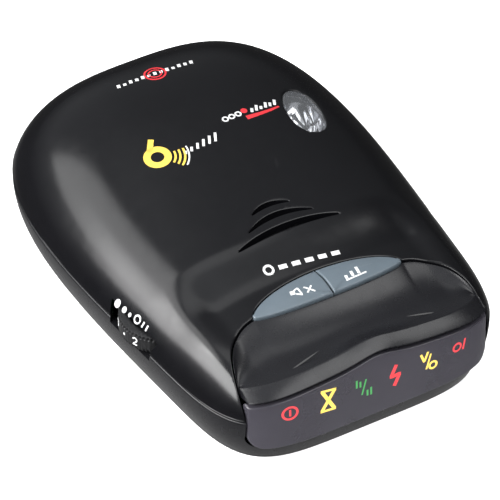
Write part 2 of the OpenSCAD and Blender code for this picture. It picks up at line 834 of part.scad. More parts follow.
module processor_chip() {
    color("#202225") in_frame() union() {
        translate([-6, speaker_y - 6, board_top + 0.4]) cube([12, 12, 1.3]);
        for (k = [-5:1:5], turn = [0:90:270])
            translate([0, speaker_y, board_top]) rotate(turn)
                translate([5.8, k - 0.2, 0]) cube([1.3, 0.4, 0.6]);
    }
}

module regulator() {
    color("#232326") in_frame() union() {
        translate([13.6, jack_y - 14, board_top]) cube([6.5, 5.5, 2.3]);
        translate([14.2, jack_y - 8.6, board_top]) cube([5.3, 1.6, 0.5]);
        for (k = [0:2])
            translate([14.1 + 2.3 * k, jack_y - 16, board_top]) cube([0.8, 2.1, 0.5]);
    }
}

module capacitors() {
    color("#2a3b52") in_frame() for (c = CAPACITORS) difference() {
        upright(c[2], c[0], c[1], board_top, board_top + c[3], 32);
        upright(c[2] - 0.4, c[0], c[1], board_top + c[3] - 0.15, board_top + c[3] + 1, 32);
    }
}

module crystal() {
    color("#c3c6c8") in_frame() translate([-13, speaker_y + 8, board_top]) union() {
        translate([-4, -1.6, 0]) cube([8, 3.2, 3.2]);
        for (end = [-4, 4])
            translate([end, 0, 0]) cylinder(r = 1.6, h = 3.2, $fn = 32);
    }
}

module case_screws() {
    color("#8f9296") in_frame() for (p = SCREWS) difference() {
        union() {
            upright(screw_r, p.x, p.y, head_seat - 0.2, lower_h + 6.6, 32);
            upright(head_r, p.x, p.y, head_seat - head_h, head_seat, 40);
        }
        for (turn = [0, 90])
            translate([p.x, p.y, head_seat - head_h - 0.1]) rotate(turn)
                translate([-1.4, -0.3, 0]) cube([2.8, 0.6, 0.9]);
    }
}

module board_screws() {
    color("#b9bcc0") in_frame() for (p = BOARD_SCREWS) difference() {
        union() {
            upright(board_screw_r, p.x, p.y, wall + 0.6, board_top + 0.3, 32);
            upright(1.9, p.x, p.y, board_top, board_top + 1.3, 32);
        }
        for (turn = [0, 90])
            translate([p.x, p.y, board_top + 0.7]) rotate(turn)
                translate([-1.1, -0.25, 0]) cube([2.2, 0.5, 1]);
    }
}

module rating_label() {
    color("#c9cacb") in_frame() translate([-17.7, -7.7, 0.05]) cube([35.4, 23.4, 0.15]);
}

upper_case();
lower_case();
front_panel();
display_lens();
legend_film();
light_box();
indicator_lamps();
left_button();
right_button();
switch_bodies();
left_plunger();
right_plunger();
volume_wheel();
volume_pot();
laser_lens();
laser_reflector();
laser_sensor();
sensor_post();
nose_window();
main_board();
horn_antenna();
antenna_cover();
antenna_screws();
mixer_shield();
speaker_frame();
speaker_magnet();
speaker_cone();
speaker_cloth();
speaker_leads();
dc_jack();
jack_contact();
processor_chip();
regulator();
capacitors();
crystal();
case_screws();
board_screws();
rating_label();
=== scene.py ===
"""Looks of a windscreen radar detector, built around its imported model.

Lengths inside this file are millimetres until a mesh is written, which is in metres.
The case is described in a waist frame: x across, y from the waist (the place where
the short display half meets the long nose half) towards the nose, z up.
"""
import json

import bmesh
import bpy
import numpy as np
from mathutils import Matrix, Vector

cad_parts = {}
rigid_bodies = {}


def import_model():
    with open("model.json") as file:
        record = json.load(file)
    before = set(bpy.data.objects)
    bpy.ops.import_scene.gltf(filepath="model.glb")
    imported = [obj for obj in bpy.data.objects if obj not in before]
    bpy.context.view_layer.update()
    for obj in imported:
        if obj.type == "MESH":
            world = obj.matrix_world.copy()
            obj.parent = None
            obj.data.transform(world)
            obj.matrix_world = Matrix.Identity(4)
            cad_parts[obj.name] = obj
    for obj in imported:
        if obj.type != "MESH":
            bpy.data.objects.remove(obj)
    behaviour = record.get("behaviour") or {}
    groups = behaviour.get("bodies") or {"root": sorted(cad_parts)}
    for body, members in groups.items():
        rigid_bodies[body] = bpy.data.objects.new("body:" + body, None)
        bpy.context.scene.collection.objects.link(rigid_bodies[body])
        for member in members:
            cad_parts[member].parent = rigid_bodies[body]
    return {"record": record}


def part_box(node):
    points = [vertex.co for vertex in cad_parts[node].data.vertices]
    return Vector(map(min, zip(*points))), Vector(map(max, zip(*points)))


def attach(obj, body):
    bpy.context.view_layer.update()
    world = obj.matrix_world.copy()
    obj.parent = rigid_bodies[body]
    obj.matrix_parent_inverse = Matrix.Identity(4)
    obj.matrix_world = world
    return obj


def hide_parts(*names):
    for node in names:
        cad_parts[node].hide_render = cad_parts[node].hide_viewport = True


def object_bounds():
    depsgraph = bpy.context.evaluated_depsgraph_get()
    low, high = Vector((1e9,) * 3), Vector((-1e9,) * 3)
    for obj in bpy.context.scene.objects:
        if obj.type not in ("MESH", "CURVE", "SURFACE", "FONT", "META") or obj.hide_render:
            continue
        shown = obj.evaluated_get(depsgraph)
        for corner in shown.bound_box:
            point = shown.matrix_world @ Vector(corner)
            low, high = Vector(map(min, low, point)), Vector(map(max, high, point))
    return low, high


bl_info = {
    "name": "Radar detector looks",
    "version": (1, 0, 0),
    "blender": (4, 5, 0),
    "location": "3D View > Sidebar > Detector",
    "description": "Builds the skins, prints and finishes of a windscreen radar detector",
    "category": "Object",
}

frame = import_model()
CAD_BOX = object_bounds()

MM = 0.001
TAU = 2 * np.pi


def box_mm(node):
    """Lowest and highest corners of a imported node, in millimetres."""
    low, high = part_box(node)
    return np.array(low) / MM, np.array(high) / MM


WHOLE = np.array([CAD_BOX[0], CAD_BOX[1]], float) / MM
LOWER = box_mm("lower_case")
WHEEL = box_mm("volume_wheel")
EYE = box_mm("laser_lens")
JACK = box_mm("dc_jack")
NOSE = box_mm("nose_window")
JOINTS = {joint["name"]: joint for joint in frame["record"]["behaviour"]["joints"]}
WHEEL_R = (WHEEL[1][1] - WHEEL[0][1]) / 2
WHEEL_AXIS = np.array(JOINTS["volume_turn"]["pos_m"]) / MM
BODY_LEN = WHOLE[1][1] - WHOLE[0][1]
LOWER_H = LOWER[1][2]


# ---------------------------------------------------------------- settings

def length(label, value, text):
    """A length setting in metres, given here in millimetres."""
    return bpy.props.FloatProperty(
        name=label, description=text, default=value * MM, unit="LENGTH", precision=5)


def ratio(label, value, text):
    return bpy.props.FloatProperty(name=label, description=text, default=value)


def colour(label, value, text):
    return bpy.props.FloatVectorProperty(
        name=label, description=text, default=value, subtype="COLOR", size=3, min=0, max=1)


class DetectorCase(bpy.types.PropertyGroup):
    waist_w: length("Waist width", 72.0, "Full width where the two halves of the outline meet")
    front_len: length("Display half", 35.6, "Length of the display half of the outline")
    crown_h: length("Crown", 14.8, "Height of the dome above the parting line")
    wall: length("Wall", 1.8, "Wall thickness of the case")
    tuck: length("Tuck", 3.5, "How far the lower case draws in at its underside")
    front_pow: ratio("Display squareness", 4.94, "Power of the outline's display half")
    nose_pow: ratio("Nose squareness", 3.16, "Power of the outline's nose half")
    seam: length("Seam", 0.22, "Height of the groove at the parting line")
    edge: length("Edge radius", 0.35, "Rounding of moulded edges")


class DetectorPanel(bpy.types.PropertyGroup):
    side_z: length("Window end height", 16.6, "Height of the display window at its ends")
    bottom_z: length("Window foot", 4.6, "Height of the lower edge of the display window")
    window_t: length("Window thickness", 1.8, "Thickness of the display window")
    boat_half: length("Half button row", 17.3, "Half of the length of the two buttons")
    boat_depth: length("Button depth", 7.7, "Depth of the two buttons at the middle")
    gap: length("Gap", 0.25, "Gap round the buttons and the front panel")
    scoop: length("Scoop", 2.1, "Depth of the hollow between the buttons and the brow")
    brow: length("Brow", 3.4, "Depth of the raised brow above the window")


class DetectorColours(bpy.types.PropertyGroup):
    case: colour("Case", (0.0040, 0.0040, 0.0050), "Black of the upper case")
    under: colour("Underside", (0.009, 0.009, 0.0105), "Black of the lower case")
    panel: colour("Panel", (0.0085, 0.0085, 0.0105), "Black of the front panel")
    button: colour("Buttons", (0.115, 0.145, 0.170), "Blue-grey of the buttons")
    window: colour("Window", (0.050, 0.047, 0.058), "Smoke of the display window")
    red: colour("Red", (0.72, 0.035, 0.045), "Red prints and legends")
    yellow: colour("Yellow", (0.90, 0.62, 0.10), "Yellow prints and legends")
    green: colour("Green", (0.05, 0.33, 0.08), "Green legend")
    white: colour("White", (0.82, 0.82, 0.82), "White prints")


class DetectorStage(bpy.types.PropertyGroup):
    azimuth: bpy.props.FloatProperty(
        name="Azimuth", description="Camera azimuth", default=np.radians(-29.957), subtype="ANGLE")
    elevation: bpy.props.FloatProperty(
        name="Elevation", description="Camera elevation", default=np.radians(41.982), subtype="ANGLE")
    distance: length("Distance", 961.7, "Camera distance from its target")
    lens: ratio("Focal length", 333.03, "Focal length of the camera in millimetres")
    target: bpy.props.FloatVectorProperty(
        name="Target", description="Point the camera looks at", unit="LENGTH",
        default=(-1.865 * MM, -5.894 * MM, 12.0 * MM))


GROUPS = (
    ("detector_case", DetectorCase),
    ("detector_panel", DetectorPanel),
    ("detector_colours", DetectorColours),
    ("detector_stage", DetectorStage),
)


def mm_of(group, name):
    """A length setting of the scene, in millimetres."""
    return getattr(getattr(bpy.context.scene, group), name) / MM


# ---------------------------------------------------------------- shape of the case

class Form:
    """The curves and surfaces that the skins share, worked out from the settings."""

    taper_rate = 0.0026
    dome_pow = 4.78
    dome_round = 1.416
    lean = 0.005
    bow = 0.0019
    arch = 0.002
    tuck_pow = 2.2
    sink_h = 3.4
    sink_run = 13.0
    window_lean = 0.5
    corner_ry = 16.2
    edge_step = 0.35

    def __init__(self):
        case = lambda name: mm_of("detector_case", name)
        panel = lambda name: mm_of("detector_panel", name)
        groups = bpy.context.scene.detector_case
        self.waist_w, self.front_len, self.crown_h = case("waist_w"), case("front_len"), case("crown_h")
        self.wall, self.tuck = case("wall"), case("tuck")
        self.seam, self.edge = case("seam"), case("edge")
        self.front_pow, self.nose_pow = groups.front_pow, groups.nose_pow
        self.nose_len = BODY_LEN - self.front_len
        self.mid_y = (self.nose_len - self.front_len) / 2
        self.side_z, self.bottom_z = panel("side_z"), panel("bottom_z")
        self.window_t, self.gap = panel("window_t"), panel("gap")
        self.scoop, self.brow = panel("scoop"), panel("brow")
        self.boat_half = panel("boat_half")
        self.boat_rear = panel("boat_depth") * 0.69
        self.boat_front = panel("boat_depth") * 0.31
        self.disp_half = self.half_at(-(self.front_len - 5)) - 0.6
        self.corner_y = -(self.front_len - 4.3)
        self.tip_y = self.corner_y + self.corner_ry
        self.sink_start = self.front_len - 38.6
        self.speaker_y = -(self.front_len - 39.8)

    def taper(self, y):
        return 1 + self.taper_rate * y

    def ends(self, y):
        nose = np.asarray(y) > 0
        return np.where(nose, self.nose_len, self.front_len), np.where(nose, self.nose_pow, self.front_pow)

    def half_at(self, y, d=0.0):
        """Half width at depth y: w/2 (1 + taper y) (1 - |y / end|^n)^(1/n), drawn in by d."""
        end, n = self.ends(y)
        left = np.maximum(0, 1 - np.abs(np.asarray(y) / (end - d)) ** n)
        return (self.waist_w / 2 - d) * self.taper(np.asarray(y)) * left ** (1 / n)

    def rim(self, t, d=0.0):
        """Outline point at angle t: x = a sgn c |c|^(2/n), y = b sgn s |s|^(2/n), x tapered by y."""
        c, s = np.cos(t), np.sin(t)
        end, n = self.ends(s)
        y = np.sign(s) * (end - d) * np.abs(s) ** (2 / n)
        x = np.sign(c) * (self.waist_w / 2 - d) * np.abs(c) ** (2 / n) * self.taper(y)
        return x, y

    def level(self, x, y, d=0.0):
        """0 in the middle of the dome, 1 on its rim: the n-norm of x / half width and y / end."""
        end, n = self.ends(y)
        across = np.abs(x / ((self.waist_w / 2 - d) * self.taper(y)))
        return (across ** n + np.abs(y / (end - d)) ** n) ** (1 / n)

    def sink(self, x, y):
        """How far the top sinks towards the front panel; it fades out beside the panel's ends."""
        return (self.sink_h * smooth((-y - self.sink_start) / self.sink_run)
                * (1 - 0.9 * smooth((np.abs(x) - self.disp_half + 6.7) / 8)))

    def dome_height(self, s):
        """Share of the crown at level s: (1 - s^p)^(1/q)."""
        return np.maximum(0, 1 - np.minimum(1, s) ** self.dome_pow) ** (1 / self.dome_round)

    def top_z(self, x, y, d=0.0):
        """Height of the dome at x, y, for a skin drawn in by d."""
        crown = (self.crown_h - d + self.lean * y + self.bow * y * y
                 - self.arch * x * x - self.sink(x, y))
        return LOWER_H + crown * self.dome_height(self.level(x, y, d))

    def outline_y(self, x, d=0.0):
        """Depth of the display end's outline over the width."""
        half = (self.waist_w / 2 - d) * self.taper(-0.9 * self.front_len)
        left = np.maximum(0, 1 - np.abs(x / half) ** self.front_pow)
        return -(self.front_len - d) * left ** (1 / self.front_pow)

    def boat_q(self, x):
        return np.minimum(1, (x / self.boat_half) ** 2)

    def boat_rear_y(self, x):
        return self.tip_y + self.boat_rear * (1 - self.boat_q(x)) ** 0.6

    def boat_front_y(self, x):
        return self.tip_y - self.boat_front * (1 - self.boat_q(x)) ** 0.6

    def corner_arc_y(self, x, g):
        """Quarter ellipse from the button tips round to the window's ends, drawn in by g."""
        u = np.maximum(0, np.abs(x) - self.boat_half) / (self.disp_half - g - self.boat_half)
        return self.corner_y + (self.corner_ry - g) * np.sqrt(np.maximum(0, 1 - u * u))

    def panel_rear_y(self, x, g):
        return np.where(np.abs(x) < self.boat_half, self.boat_front_y(x) - g, self.corner_arc_y(x, g))

    def panel_rear_z(self, x):
        tip = self.top_z(np.float64(self.boat_half), np.float64(self.tip_y))
        middle = tip - self.edge_step + 0.8 * (1 - self.boat_q(x))
        corner = self.top_z(x, self.corner_arc_y(x, 0)) - self.edge_step
        return np.where(np.abs(x) < self.boat_half, middle, corner)

    def window_top_z(self, x):
        """Upper edge of the window: an arch with a hump of Gaussian shape in the middle."""
        return (self.side_z + 3.2 * (1 - (x / self.disp_half) ** 2)
                + 1.4 * np.exp(-(x / 5.5) ** 2))

    def crest_z(self, x):
        return (self.side_z + 2 + 3.4 * (1 - (x / self.disp_half) ** 2)
                + 1.2 * np.exp(-(x / 6) ** 2) - 0.6 * np.abs(x / self.disp_half) ** 12)

    def crest_y(self, x):
        full = self.panel_rear_y(x, self.gap) - self.outline_y(x)
        inset = self.brow + 1.2 * np.abs(x / self.disp_half) ** 6
        return self.outline_y(x) + np.minimum(inset, 0.8 * full)


def smooth(t):
    """Smooth step: 3t^2 - 2t^3 between 0 and 1."""
    c = np.clip(t, 0, 1)
    return c * c * (3 - 2 * c)


def even(points, count, closed=False):
    """The same curve with its points an equal way apart."""
    points = np.asarray(points, float)
    if closed:
        points = np.vstack([points, points[:1]])
    way = np.r_[0, np.cumsum(np.linalg.norm(np.diff(points, axis=0), axis=1))]
    marks = np.linspace(0, way[-1], count, endpoint=not closed)
    return np.column_stack([np.interp(marks, way, points[:, k]) for k in range(points.shape[1])])


def softened(loop, times):
    """A closed loop whose corners are rounded: p = (before + 2 p + after) / 4, so many times."""
    for _ in range(times):
        loop = (np.roll(loop, 1, axis=0) + 2 * loop + np.roll(loop, -1, axis=0)) / 4
    return loop


def inward(loop, d):
    """A closed plan loop drawn in by d along its normals; d may differ from point to point."""
    ahead, back = np.roll(loop, -1, axis=0), np.roll(loop, 1, axis=0)
    way = ahead - back
    normal = np.column_stack([-way[:, 1], way[:, 0]]) / np.linalg.norm(way, axis=1)[:, None]
    return loop + normal * np.reshape(d, (-1, 1))


# ---------------------------------------------------------------- meshes

def ring_faces(rows, cols, offset=0):
    """Quads between closed rings that follow each other."""
    i = np.arange(cols)
    j = np.arange(rows - 1)[:, None] * cols
    nxt = (i + 1) % cols
    a, b = j + i, j + nxt
    return (np.stack([a, a + cols, b + cols, b], axis=-1) + offset).reshape(-1, 4)


def closed_stack(rings, first=None, last=None):
    """Vertices and faces of a closed body through rings, with a point at each end.

    rings is (rows, cols, 3). The end points default to the middles of the end rings."""
    rows, cols = rings.shape[:2]
    first = rings[0].mean(axis=0) if first is None else first
    last = rings[-1].mean(axis=0) if last is None else last
    points = np.vstack([[first], rings.reshape(-1, 3), [last]])
    i = np.arange(cols)
    nxt = (i + 1) % cols
    start = np.stack([np.zeros(cols, int), 1 + i, 1 + nxt], axis=-1)
    base = 1 + (rows - 1) * cols
    end = np.stack([np.full(cols, len(points) - 1), base + nxt, base + i], axis=-1)
    return points, [ring_faces(rows, cols, 1), start, end]


def slab(grid, thickness):
    """Vertices and faces of a closed sheet over an open grid (rows, cols, 3).

    thickness is a vector that leads from the upper side to the lower one."""
    rows, cols = grid.shape[:2]
    lower = grid + np.asarray(thickness)
    index = np.arange(rows * cols).reshape(rows, cols)
    a, b, c, d = index[:-1, :-1], index[:-1, 1:], index[1:, 1:], index[1:, :-1]
    top = np.stack([a, b, c, d], axis=-1).reshape(-1, 4)
    size = rows * cols
    edge = np.concatenate([index[0], index[1:, -1], index[-1, -2::-1], index[-2:0:-1, 0]])
    nxt = np.roll(edge, -1)
    side = np.stack([nxt, edge, edge + size, nxt + size], axis=-1)
    points = np.vstack([grid.reshape(-1, 3), lower.reshape(-1, 3)])
    return points, [top, top[:, ::-1] + size, side]


def add_piece(name, bodies, material, body, stands_for=(), flat_angle=35.0):
    """Writes closed bodies into one mesh object, smooth except over sharp edges."""
    shift = np.array([0, FORM.mid_y, 0])
    points, quads, tris, offset = [], [], [], 0
    for verts, faces in bodies:
        points.append((verts - shift) * MM)
        for patch in faces:
            (quads if patch.shape[1] == 4 else tris).append(patch + offset)
        offset += len(verts)
    points = np.vstack(points)
    faces = [f.tolist() for patch in quads + tris for f in patch]
    mesh = bpy.data.meshes.new(name)
    mesh.from_pydata(points.tolist(), [], faces)
    piece = bpy.data.objects.new(name, mesh)
    bpy.context.scene.collection.objects.link(piece)
    turn_outward(mesh)
    shade(mesh, flat_angle)
    if material is not None:
        mesh.materials.append(material)
    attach(piece, body)
    if stands_for:
        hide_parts(*stands_for)
    return piece


def turn_outward(mesh):
    """Makes every face of a closed mesh point outwards."""
    work = bmesh.new()
    work.from_mesh(mesh)
    bmesh.ops.remove_doubles(work, verts=work.verts, dist=1e-7)
    bmesh.ops.recalc_face_normals(work, faces=work.faces)
    work.to_mesh(mesh)
    work.free()


def shade(mesh, angle):
    """Smooth shading that breaks at edges sharper than the angle."""
    mesh.polygons.foreach_set("use_smooth", np.ones(len(mesh.polygons), bool))
    mesh.set_sharp_from_angle(angle=np.radians(angle))


def cutter(bodies):
    """An object to cut with, from closed bodies in the waist frame."""
    shift = np.array([0, FORM.mid_y, 0])
    points, faces, offset = [], [], 0
    for verts, blocks in bodies:
        points.append((verts - shift) * MM)
        faces += [f.tolist() for block in blocks for f in (block + offset)]
        offset += len(verts)
    mesh = bpy.data.meshes.new("cutter")
    mesh.from_pydata(np.vstack(points).tolist(), [], faces)
    turn_outward(mesh)
    tool = bpy.data.objects.new("cutter", mesh)
    bpy.context.scene.collection.objects.link(tool)
    return tool


def carve(piece, tools, angle=35.0):
    """Cuts each tool out of the piece and removes the tools."""
    for tool in tools:
        step = piece.modifiers.new("carve", "BOOLEAN")
        step.operation = "DIFFERENCE"
        step.solver = "EXACT"
        step.object = tool
    bpy.context.view_layer.update()
    result = bpy.data.meshes.new_from_object(
        piece.evaluated_get(bpy.context.evaluated_depsgraph_get()))
    piece.modifiers.clear()
    old = piece.data
    name = old.name
    piece.data = result
    bpy.data.meshes.remove(old)
    result.name = name
    for tool in tools:
        mesh = tool.data
        bpy.data.objects.remove(tool)
        bpy.data.meshes.remove(mesh)
    shade(result, angle)


def upright_cut(loop, z0, z1):
    """Prism over a closed plan loop."""
    low = np.column_stack([loop, np.full(len(loop), z0)])
    high = np.column_stack([loop, np.full(len(loop), z1)])
    return closed_stack(np.stack([low, high]))


def flared_cut(loop, radius, depth, height=None):
    """Prism over a plan loop whose mouth rolls outward on an arc, so that its edge is rounded.

    At angle a the wall stands out by r (1 - cos a) and lies r (1 - sin a) below the dome."""
    height = height or FORM.top_z
    surface = height(loop[:, 0], loop[:, 1])
    rings = [np.column_stack([loop, surface - depth]), np.column_stack([loop, surface - radius])]
    for a in np.radians([15, 30, 45, 58, 70]):
        out = inward(loop, -radius * (1 - np.cos(a)))
        rings.append(np.column_stack([out, height(out[:, 0], out[:, 1]) - radius * (1 - np.sin(a))]))
    last = np.radians(70)
    reach = radius * (1 - np.cos(last)) + 0.25
    out = inward(loop, -reach)
    lift = 0.25 / np.tan(last) - radius * (1 - np.sin(last))
    rings.append(np.column_stack([out, height(out[:, 0], out[:, 1]) + lift]))
    rings.append(np.column_stack([out, surface + 6]))
    return closed_stack(np.stack(rings))


def lathe(profile, centre, axis, sides=96):
    """Closed body of (radius, way) pairs turned about a line through centre along axis."""
    t = np.linspace(0, TAU, sides, endpoint=False)
    axis = np.asarray(axis, float)
    side = np.cross(axis, [0.0, 0.0, 1.0])
    side = np.array([1.0, 0, 0]) if np.linalg.norm(side) < 1e-6 else side / np.linalg.norm(side)
    up = np.cross(axis, side)
    spoke = np.cos(t)[:, None] * side + np.sin(t)[:, None] * up
    rings = np.stack([centre + way * axis + r * spoke for r, way in profile])
    first = centre + profile[0][1] * axis
    last = centre + profile[-1][1] * axis
    return closed_stack(rings, first, last)


def block(low, high):
    """Closed box between two corners."""
    (x0, y0, z0), (x1, y1, z1) = low, high
    loop = np.array([[x0, y0], [x1, y0], [x1, y1], [x0, y1]])
    return upright_cut(loop, z0, z1)


# ---------------------------------------------------------------- plans

def opening_loop(g):
    """Closed plan of the opening for the buttons, the front panel and the window."""
    f = FORM
    t = np.linspace(0, np.pi / 2, 40)
    right = np.column_stack([f.boat_half + (f.disp_half - g - f.boat_half) * np.cos(t),
                             f.corner_y + (f.corner_ry - g) * np.sin(t)])
    x = f.boat_half * np.sin(np.linspace(np.pi / 2, -np.pi / 2, 90))
    rear = np.column_stack([x, f.boat_rear_y(x) + f.gap])
    left = right[::-1] * [-1, 1]
    foot = -f.front_len - 4
    side = np.linspace(foot, f.corner_y, 12)[:-1]
    sides = np.column_stack([np.full(11, f.disp_half - g), side])
    loop = np.vstack([sides, right[:-1], rear[1:-1], left[1:], sides[::-1] * [-1, 1]])
    return softened(even(loop, 620, closed=True), 3)


def crescent_loop(half, sag, width, y):
    """Closed plan of a slot, y = -sag q +- width (1 - q)^0.8 / 2 with q = (x / half)^2."""
    x = half * np.sin(np.linspace(-np.pi / 2, np.pi / 2, 41))
    q = (x / half) ** 2
    spread = width * np.maximum(0, 1 - q) ** 0.8 / 2 + 0.1
    front = np.column_stack([x, y - sag * q - spread])
    rear = np.column_stack([x, y - sag * q + spread])[::-1]
    return even(np.vstack([front, rear]), 90, closed=True)


SLOTS = ((12.0, 1.5, 1.5, 1.9), (7.6, 2.0, 1.3, 5.8), (4.4, 1.2, 1.1, 9.2))
EYE_TURN = np.radians(-8)


def eye_loop(g, count=120):
    """Egg-shaped closed plan of the receiver window, drawn in by g."""
    f = FORM
    t = np.linspace(0, TAU, count, endpoint=False)
    c, s = np.cos(t), np.sin(t)
    x = np.sign(c) * (3.9 - g) * np.abs(c) ** 0.9
    y = np.sign(s) * (7.0 - g) * np.abs(s) ** 0.9
    middle = (EYE[0] + EYE[1]) / 2 + [0, f.mid_y, 0]
    turned = np.column_stack([x * np.cos(EYE_TURN) - y * np.sin(EYE_TURN),
                              x * np.sin(EYE_TURN) + y * np.cos(EYE_TURN)])
    return turned + middle[:2]


def wheel_space():
    """The flat round space that the volume wheel turns in."""
    low, high = WHEEL[1][2] - 4.0 - 0.5, WHEEL[1][2] + 0.5
    centre = WHEEL_AXIS * [1, 1, 0] + [0, FORM.mid_y, 0]
    reach = WHEEL_R + 1.8
    return lathe([(reach, low), (reach, high)], centre, (0, 0, 1))


def jack_space():
    low, high = JACK
    centre = np.array([high[0] - 3.5, (low[1] + high[1]) / 2 + FORM.mid_y, LOWER_H + 0.2])
    return lathe([(4.1, 0), (4.1, 4.9), (4.6, 5.4), (4.6, 9)], centre, (1, 0, 0))


def nose_space(g):
    low, high = NOSE
    return block((low[0] - 0.1 + g, FORM.nose_len - 12, low[2] - 0.1 + g),
                 (high[0] + 0.1 - g, FORM.nose_len + 8, high[2] + 0.1 - g))


# ---------------------------------------------------------------- case skins

def rim_angles(count):
    """Angles whose outline points are an equal way apart."""
    dense = np.linspace(0, TAU, 20001)
    x, y = FORM.rim(dense)
    way = np.r_[0, np.cumsum(np.hypot(np.diff(x), np.diff(y)))]
    return np.interp(np.linspace(0, way[-1], count, endpoint=False), way, dense)


def dome_levels(count):
    """Levels from the middle to the rim whose profile points are an equal way apart."""
    s = 1 - np.linspace(1, 0, 20001) ** 2.5
    z = FORM.crown_h * FORM.dome_height(s)
    way = np.r_[0, np.cumsum(np.hypot(np.diff(s * FORM.waist_w / 2), np.diff(z)))]
    return np.interp(np.linspace(0, way[-1], count + 1)[1:], way, s)


def dome_rings(angles, levels, d, floor):
    """Rings of the dome: the outline scaled by each level, lifted to the dome's height."""
    x, y = FORM.rim(angles, d)
    x, y = levels[:, None] * x, levels[:, None] * y
    z = np.maximum(FORM.top_z(x, y, d), floor)
    return np.stack([x, y, z], axis=-1)


def build_upper_case(material):
    f = FORM
    angles = rim_angles(440)
    floor = LOWER_H + f.seam / 2
    outer = dome_rings(angles, dome_levels(76), 0, floor + f.edge)
    roll = []
    for a in np.radians([30, 60, 90]):
        x, y = f.rim(angles, f.edge * (1 - np.cos(a)))
        roll.append(np.stack([x, y, np.full_like(x, floor + f.edge * (1 - np.sin(a)))], axis=-1))
    inner = dome_rings(angles, dome_levels(24)[::-1], f.wall, floor)
    rings = np.concatenate([outer, np.stack(roll), inner])
    first = (0, 0, f.top_z(0.0, 0.0))
    last = (0, 0, f.top_z(0.0, 0.0, f.wall))
    skin = add_piece("upper_case_skin", [closed_stack(rings, first, last)], material,
                     "housing", ("upper_case",))
    tools = [cutter([flared_cut(opening_loop(0.0), f.edge, 14)]),
             cutter([flared_cut(crescent_loop(h, g, w, f.speaker_y - 4.2 + y), 0.22, 4)
                     for h, g, w, y in SLOTS]),
             cutter([flared_cut(eye_loop(0.0), 0.3, 5)]),
             cutter([wheel_space()]), cutter([jack_space()]), cutter([nose_space(0)])]
    carve(skin, tools)
    return skin


def tuck_at(z, angles=None):
    """How far the lower wall draws in: a power of the depth below the seam, less at the display."""
    draw = FORM.tuck * (1 - np.clip(z / LOWER_H, 0, 1)) ** FORM.tuck_pow
    return draw if angles is None else draw * (1 - 0.35 * np.clip(-np.sin(angles), 0, 1) ** 2)


def build_lower_case(material):
    f = FORM
    angles = rim_angles(360)
    top = LOWER_H - f.seam / 2
    rings = []

    def ring(z, d, share=1.0):
        x, y = f.rim(angles, d + tuck_at(z, angles))
        rings.append(np.stack([x * share, y * share, np.full_like(x, z)], axis=-1))

    for share in (0.35, 0.7, 0.95):
        ring(f.wall, f.wall, share)
    for z in np.linspace(f.wall, top, 12):
        ring(z, f.wall)
    for a in np.radians([90, 60, 30, 0]):
        ring(top - f.edge * (1 - np.sin(a)), f.edge * (1 - np.cos(a)))
    for z in np.linspace(top - f.edge, 0.9, 34)[1:]:
        ring(z, 0)
    for a in np.radians([25, 50, 72, 90]):
        x, y = f.rim(angles, tuck_at(0.9, angles) + 0.9 * (1 - np.cos(a)))
        rings.append(np.stack([x, y, np.full_like(x, 0.9 * (1 - np.sin(a)))], axis=-1))
    for share in (0.93, 0.7, 0.35):
        x, y = f.rim(angles, tuck_at(0.9, angles) + 0.9)
        rings.append(np.stack([x * share, y * share, np.zeros_like(x)], axis=-1))
    skin = add_piece("lower_case_skin", [closed_stack(np.stack(rings), (0, 0, f.wall), (0, 0, 0))],
                     material, "housing", ("lower_case",))
    window = window_loop(-0.42)
    depth = np.array([-f.front_len - 5, -f.front_len + 9])
    sheets = [np.column_stack([window[:, 0], np.full(len(window), y), window[:, 1]]) for y in depth]
    low, high = box_mm("rating_label")
    label = block((low[0] - 0.3, low[1] - 0.3 + f.mid_y, -1), (high[0] + 0.3, high[1] + 0.3 + f.mid_y, 0.2))
    holes = []
    for x in screw_places():
        holes.append(lathe([(3.1, -1), (3.1, -0.01), (2.7, 0.35), (2.7, 4.0), (1.5, 4.0), (1.5, 14)],
                           np.array([x[0], x[1], 0.0]), (0, 0, 1), 64))
    slot = block((-12, f.nose_len - 14, f.wall), (12, f.nose_len + 4, f.wall + 2.6))
    carve(skin, [cutter([closed_stack(np.stack(sheets))]), cutter([wheel_space()]),
                 cutter([jack_space()]), cutter([label]), cutter(holes), cutter([slot])])
    return skin


EDGE_TO_AXIS = 2.4      # from the edge of the screws' shared box to an axis, mm


def screw_places():
    """Axes of the four case screws, from the corners of their shared box."""
    low, high = box_mm("case_screws")
    places = []
    for y in (low[1] + EDGE_TO_AXIS, high[1] - EDGE_TO_AXIS):
        reach = FORM.half_at(y + FORM.mid_y) - (FORM.wall + 3.0 + 3.2)
        places += [(-reach, y + FORM.mid_y), (reach, y + FORM.mid_y)]
    return places


# ---------------------------------------------------------------- front panel and window

